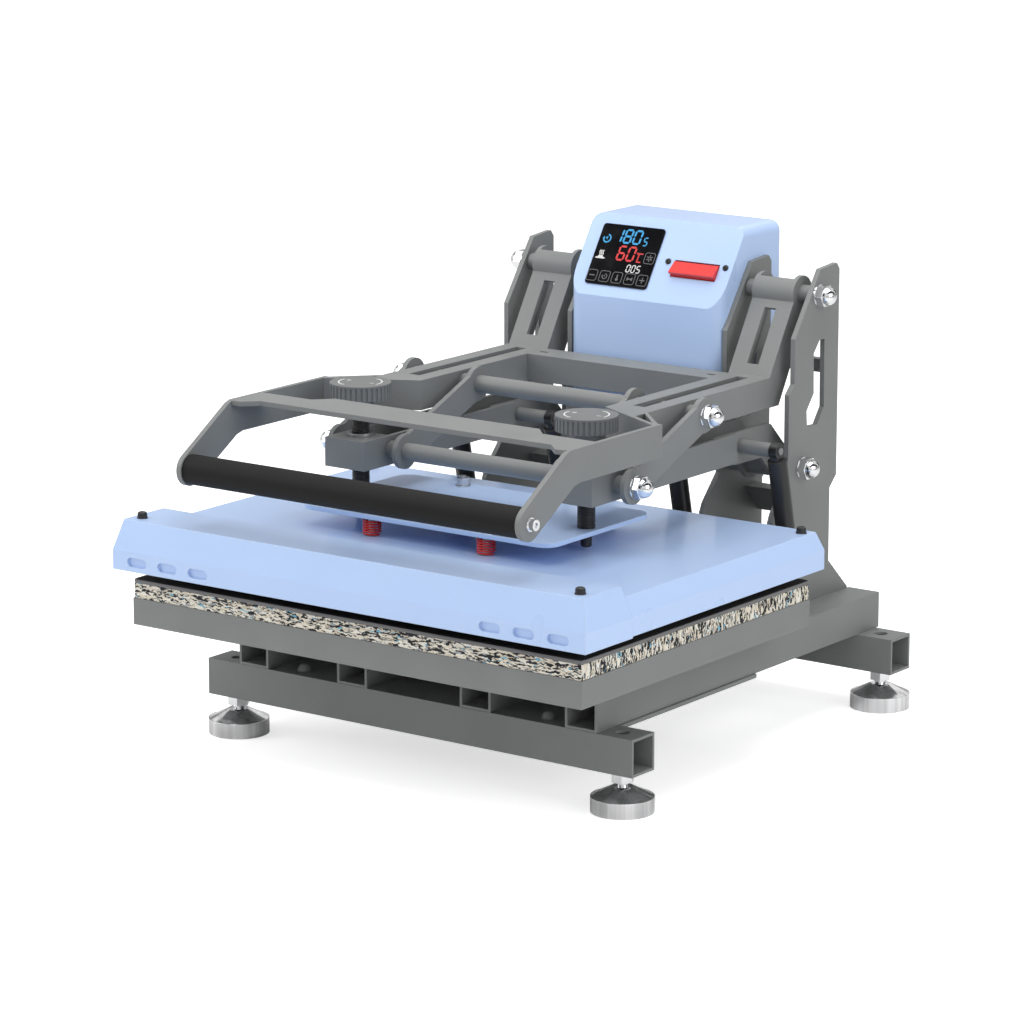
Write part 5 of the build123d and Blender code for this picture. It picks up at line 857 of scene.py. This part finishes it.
def repeated(name, thing_work, places, finish):
    """Mesh with one copy of the small thing at every place."""
    thing_mesh = bpy.data.meshes.new(name + "_thing")
    bmesh.ops.recalc_face_normals(thing_work, faces=thing_work.faces)
    thing_work.to_mesh(thing_mesh)
    thing_work.free()
    thing = bpy.data.objects.new(name + "_thing", thing_mesh)
    points_mesh = bpy.data.meshes.new(name + "_points")
    points_mesh.from_pydata([tuple(p) for p in places], [], [])
    points = bpy.data.objects.new(name + "_points", points_mesh)
    for helper in (thing, points):
        bpy.context.scene.collection.objects.link(helper)
    grown = grow(name, scatter_tree, {"Places": points, "Thing": thing, "Size": 1.0, "Finish": finish})
    for helper in (thing, points):
        bpy.data.objects.remove(helper)
    return grown


cap_work = bmesh.new()
CAP_PROFILE = [
    (0.0, 0.0), (6.1, 0.0), (6.1, 0.8), (5.5, 1.2), (5.3, 5.0), (4.9, 6.3), (3.8, 7.0), (3.1, 7.1), (2.9, 6.4),
    (0.0, 6.2),
]
lathe(cap_work, CAP_PROFILE, (0, 0, 0), 32)
cap_places = [at(s * x, y, z) for x, y, z in ((292.0, 8.5, 118.5), (294.0, 420.0, 105.0)) for s in (-1, 1)]
caps_mesh = repeated("cap_nuts", cap_work, cap_places, black_plastic)
caps_work = bmesh.new()
caps_work.from_mesh(caps_mesh)
for x, y, z in ((292.0, 8.5, 118.5), (294.0, 420.0, 105.0)):
    for s in (-1, 1):
        depth = z - 75.0
        lathe(caps_work, [(0.0, -depth), (2.9, -depth), (2.9, 0.1), (0.0, 0.1)], at(s * x, y, z), 24)
        lathe(caps_work, [(0.0, -depth), (6.1, -depth), (6.1, -1.6), (0.0, -1.6)], at(s * x, y, z), 24)
finished("cover_caps", caps_work, "platen", [black_plastic], ["cover_cap_nuts"])

# %% [markdown]
# The two screws beside the switch are small black pan heads with a cross recess. A recess is a cut,
# which is clumsy in a lathe, so the head is a disc of sectors whose cross-shaped middle is sunk.

# %% Panel places and the two black screws
PANEL_FOOT_Y, PANEL_FOOT_Z = 540.0, 313.0
PANEL_ANGLE = math.radians(57.3)


def on_panel(x, up, out=0.0):
    """A place on the sloping control panel: across, up the slope, and out from it, in millimetres."""
    y = PANEL_FOOT_Y + up * math.cos(PANEL_ANGLE) - out * math.sin(PANEL_ANGLE)
    z = PANEL_FOOT_Z + up * math.sin(PANEL_ANGLE) + out * math.cos(PANEL_ANGLE)
    return at(x, y, z)


SWITCH_X, SCREWS_UP = 56.0, 51.5
SCREW_SPREAD = 38.9
RECESS_ARM, RECESS_HALF = 2.3, 0.55
head_work = bmesh.new()
cells = [-3.6, -RECESS_ARM, -RECESS_HALF, RECESS_HALF, RECESS_ARM, 3.6]


def head_height(u, v, sunk):
    """Height of the domed head, or of the floor of its recess."""
    dome = 1.9 - 0.9 * (u * u + v * v) / 13.0
    return dome - 1.1 if sunk else dome


for i in range(5):
    for j in range(5):
        u0, u1, v0, v1 = cells[i], cells[i + 1], cells[j], cells[j + 1]
        sunk = (i == 2 and 1 <= j <= 3) or (j == 2 and 1 <= i <= 3)
        corners = []
        for u, v in ((u0, v0), (u1, v0), (u1, v1), (u0, v1)):
            reach = math.hypot(u, v)
            limit = 3.6 / reach if reach > 3.6 else 1.0
            u, v = u * limit, v * limit
            corners.append(head_work.verts.new(on_panel(u, v, head_height(u, v, sunk)) - on_panel(0, 0, 0)))
        head_work.faces.new(corners)
rim = [v for v in head_work.verts]
bmesh.ops.remove_doubles(head_work, verts=rim, dist=1e-6)
open_edges = [e for e in head_work.edges if e.is_boundary]
walls = bmesh.ops.extrude_edge_only(head_work, edges=open_edges)
moved = [g for g in walls["geom"] if isinstance(g, bmesh.types.BMVert)]
origin_out = on_panel(0, 0, 0)
panel_out = (on_panel(0, 0, 1) - origin_out).normalized()
for vert in moved:
    vert.co -= panel_out * vert.co.dot(panel_out)
bmesh.ops.holes_fill(head_work, edges=[e for e in head_work.edges if e.is_boundary], sides=0)
screws_mesh = repeated(
    "switch_screws", head_work, [on_panel(SWITCH_X + s * SCREW_SPREAD, SCREWS_UP) for s in (-1, 1)], black_oxide)
screws_work = bmesh.new()
screws_work.from_mesh(screws_mesh)
finished("switch_screws", screws_work, "stand", [black_oxide], ["panel_screws"], 30.0)

# %% [markdown]
# The display shows lit figures behind glass, and below them a row of printed keys. All of it is ink,
# so it could be a picture, but a picture blurs close by. Thin raised tiles stay sharp at any distance.
# One helper lays a tile of any outline and one draws a line of even width with neat corners.

# %% Helpers: tiles and lines of ink
INK_LOW, INK_HIGH = -0.05, 0.10


def tile(work, outline, place, ink):
    """A thin raised tile with this outline, in the given ink."""
    low = [work.verts.new(place(x, y, INK_LOW)) for x, y in outline]
    high = [work.verts.new(place(x, y, INK_HIGH)) for x, y in outline]
    faces = [work.faces.new(low[::-1]), work.faces.new(high)]
    for i in range(len(outline)):
        k = (i + 1) % len(outline)
        faces.append(work.faces.new((low[i], low[k], high[k], high[i])))
    for face in faces:
        face.material_index = ink


def line(work, points, width, place, ink, closed=False):
    """A raised line of even width through these points."""
    points = [Vector(p) for p in points]
    last = len(points) - 1
    sections = []
    for i, here in enumerate(points):
        ways = []
        if closed or i > 0:
            ways.append((here - points[i - 1]).normalized())
        if closed or i < last:
            ways.append((points[(i + 1) % len(points)] - here).normalized())
        way = sum(ways, Vector((0.0, 0.0))).normalized()
        side = Vector((-way.y, way.x)) * width / 2 / max(0.5, way.dot(ways[0]))
        edges = ((here + side, INK_LOW), (here + side, INK_HIGH), (here - side, INK_HIGH), (here - side, INK_LOW))
        sections.append([work.verts.new(place(p.x, p.y, out)) for p, out in edges])
    pairs = list(zip(sections, sections[1:]))
    faces = []
    if closed:
        pairs.append((sections[-1], sections[0]))
    else:
        faces += [work.faces.new(sections[0][::-1]), work.faces.new(sections[-1])]
    for here, after in pairs:
        for j in range(4):
            k = (j + 1) % 4
            faces.append(work.faces.new((here[j], here[k], after[k], after[j])))
    for face in faces:
        face.material_index = ink


def arc_points(x, y, radius, start, stop, steps=14):
    """Points along an arc, with its angles in degrees."""
    turns = [math.radians(start + (stop - start) * i / steps) for i in range(steps + 1)]
    return [(x + radius * math.cos(t), y + radius * math.sin(t)) for t in turns]


def rounded_square(x, y, half, corner):
    """Outline of a square with round corners."""
    inner = half - corner
    outline = []
    for i, (sx, sy) in enumerate(((1, 1), (-1, 1), (-1, -1), (1, -1))):
        outline += arc_points(x + sx * inner, y + sy * inner, corner, 90 * i, 90 * i + 90, 5)
    return outline


def arrow_head(work, x, y, turn, size, place, ink):
    """A small triangle that points along the turn, in degrees."""
    tips = [(size, 0.0), (-size * 0.6, size * 0.9), (-size * 0.6, -size * 0.9)]
    c, s = math.cos(math.radians(turn)), math.sin(math.radians(turn))
    tile(work, [(x + u * c - v * s, y + u * s + v * c) for u, v in tips], place, ink)


print("ink stands", INK_HIGH, "mm proud of its face")

# %% [markdown]
# Each figure is seven pointed bars. A table says which bars each figure lights, as in the real part,
# and the whole figure leans a little to the right. The letter beside the seconds is simply a small five.

# %% The lit display
GLASS_X, GLASS_UP, GLASS_OUT = -42.2, 51.5, 1.5
LEAN = 0.07
CYAN, RED, WHITE, KEY = 0, 1, 2, 3
LIT_BARS = {"0": "abcdef", "1": "bc", "5": "acdfg", "6": "acdefg", "8": "abcdefg"}


def on_glass(x, y, out):
    return on_panel(GLASS_X + x, GLASS_UP + y, GLASS_OUT + out)


def figure(work, digit, left, low, wide, tall, bar, ink):
    """One leaning figure made of pointed bars."""
    edge, middle = bar / 2, tall / 2
    right, top = wide - edge, tall - edge
    ends = {
        "a": (edge, top, right, top), "g": (edge, middle, right, middle), "d": (edge, edge, right, edge),
        "f": (edge, middle, edge, top), "b": (right, middle, right, top),
        "e": (edge, edge, edge, middle), "c": (right, edge, right, middle),
    }
    for name in LIT_BARS[digit]:
        x0, y0, x1, y1 = ends[name]
        way = Vector((x1 - x0, y1 - y0)).normalized()
        side = Vector((-way.y, way.x)) * edge
        start, stop = Vector((x0, y0)) + way * bar * 0.14, Vector((x1, y1)) - way * bar * 0.14
        shape = [
            start, start + way * edge + side, stop - way * edge + side, stop,
            stop - way * edge - side, start + way * edge - side,
        ]
        tile(work, [(left + p.x + LEAN * p.y, low + p.y) for p in shape], on_glass, ink)


def timer_sign(work, x, y, size, width, ink):
    """A round arrow with two short hands."""
    line(work, arc_points(x, y, size, 190, 445, 20), width, on_glass, ink)
    arrow_head(work, x - size, y + size * 0.1, 100, size * 0.42, on_glass, ink)
    line(work, [(x - size * 0.45, y + size * 0.35), (x, y - size * 0.1), (x, y + size * 0.55)], width * 0.7, on_glass, ink)


display_work = bmesh.new()
for i, digit in enumerate("180"):
    figure(display_work, digit, -23.6 + 13.1 * i, 14.9, 11.4, 18.6, 2.4, CYAN)
figure(display_work, "5", 17.7, 14.3, 6.2, 11.2, 1.5, CYAN)
timer_sign(display_work, -31.9, 19.2, 4.7, 1.7, CYAN)
for i, digit in enumerate("60"):
    figure(display_work, digit, -11.9 + 13.2 * i, -6.6, 11.2, 19.2, 2.4, RED)
line(display_work, arc_points(16.3, 4.6, 0.9, 0, 342, 9), 0.7, on_glass, RED, closed=True)
line(display_work, [(24.0, 4.6), (18.6, 4.6), (18.0, -5.8), (23.4, -5.8)], 1.5, on_glass, RED)
for i, digit in enumerate("005"):
    figure(display_work, digit, 7.0 + 6.9 * i, -19.8, 5.6, 9.8, 1.25, WHITE)
PRESS_X, PRESS_Y = -32.9, -0.9
PRESS_SIGN = [(-6.3, -5.4), (6.3, -5.4), (6.3, -4.0), (3.6, -3.2), (2.6, -1.4), (-2.6, -1.4), (-3.6, -3.2), (-6.3, -4.0)]
tile(display_work, [(PRESS_X + x, PRESS_Y + y) for x, y in PRESS_SIGN], on_glass, WHITE)
for wave_x in (-2.2, 0.0, 2.2):
    wave = [(wave_x + 0.5 * math.sin(0.9 * i), -0.9 + 0.75 * i) for i in range(9)]
    line(display_work, [(PRESS_X + x, PRESS_Y + y) for x, y in wave], 1.2, on_glass, WHITE)
KEY_HALF, KEY_CORNER, KEY_LINE = 6.7, 2.6, 0.75
KEY_ROW = -27.6
KEYS_X = (-35.5, -18.1, -0.8, 16.6, 34.0)
for key_x, key_y in [(x, KEY_ROW) for x in KEYS_X] + [(34.0, 0.3)]:
    line(display_work, rounded_square(key_x, key_y, KEY_HALF, KEY_CORNER), KEY_LINE, on_glass, KEY, closed=True)
line(display_work, [(KEYS_X[0] - 3.6, KEY_ROW), (KEYS_X[0] + 3.6, KEY_ROW)], 1.3, on_glass, KEY)
timer_sign(display_work, KEYS_X[1], KEY_ROW, 3.1, 1.0, KEY)
line(display_work, [(KEYS_X[2], KEY_ROW - 1.0), (KEYS_X[2], KEY_ROW + 3.6)], 1.6, on_glass, KEY)
tile(display_work, arc_points(KEYS_X[2], KEY_ROW - 2.2, 1.9, 0, 342, 18), on_glass, KEY)
arrow_head(display_work, KEYS_X[3] - 2.2, KEY_ROW, 0, 2.6, on_glass, KEY)
arrow_head(display_work, KEYS_X[3] + 2.2, KEY_ROW, 180, 2.6, on_glass, KEY)
line(display_work, [(KEYS_X[4] - 3.5, KEY_ROW), (KEYS_X[4] + 3.5, KEY_ROW)], 1.2, on_glass, KEY)
for side in (-1, 1):
    line(display_work, [(KEYS_X[4], KEY_ROW + side * 0.7), (KEYS_X[4], KEY_ROW + side * 3.5)], 1.2, on_glass, KEY)
line(display_work, arc_points(34.0, 0.3, 1.7, 0, 340, 17), 0.8, on_glass, KEY, closed=True)
for i in range(6):
    turn = math.radians(60 * i + 30)
    line(display_work, [
        (34.0 + r * math.cos(turn), 0.3 + r * math.sin(turn)) for r in (2.3, 4.2)], 1.2, on_glass, KEY)
finished(
    "display_marks", display_work, "stand", [cyan_light, red_light, white_light, key_print_painted_glow], sharp=30.0)

# %% [markdown]
# White arrows on the knobs tell which way to turn for more or less pressure. They are printed on the
# flat top, so they are drawn with the same lines, and each print rides on the screw that turns it.

# %% Marks on the two knobs
KNOB_TOP = 253.0
ARROW_RADIUS, ARROW_LINE, ARROW_TURN = 24.0, 1.7, 36
for side_name, side in (("right", 1), ("left", -1)):
    def on_knob(x, y, out, side=side):
        return at(side * SCREW_X + x, SCREW_Y + y, KNOB_TOP + out)

    knob_work = bmesh.new()
    for middle in (ARROW_TURN, ARROW_TURN + 180):
        start, stop = middle - 42, middle + 38
        line(knob_work, arc_points(0, 0, ARROW_RADIUS, start, stop), ARROW_LINE, on_knob, 0)
        tip = math.radians(stop)
        arrow_head(
            knob_work, ARROW_RADIUS * math.cos(tip), ARROW_RADIUS * math.sin(tip), stop + 95, 2.8, on_knob, 0)
    line(knob_work, [(13.0, 0.0), (18.5, 0.0)], 1.3, on_knob, 0)
    line(knob_work, [(-18.5, 0.0), (-13.0, 0.0)], 1.3, on_knob, 0)
    for end in (-1, 1):
        line(knob_work, [(-15.75, end * 0.75), (-15.75, end * 2.75)], 1.3, on_knob, 0)
    finished(side_name + "_knob_marks", knob_work, side_name + "_pressure_screw", [white_print])
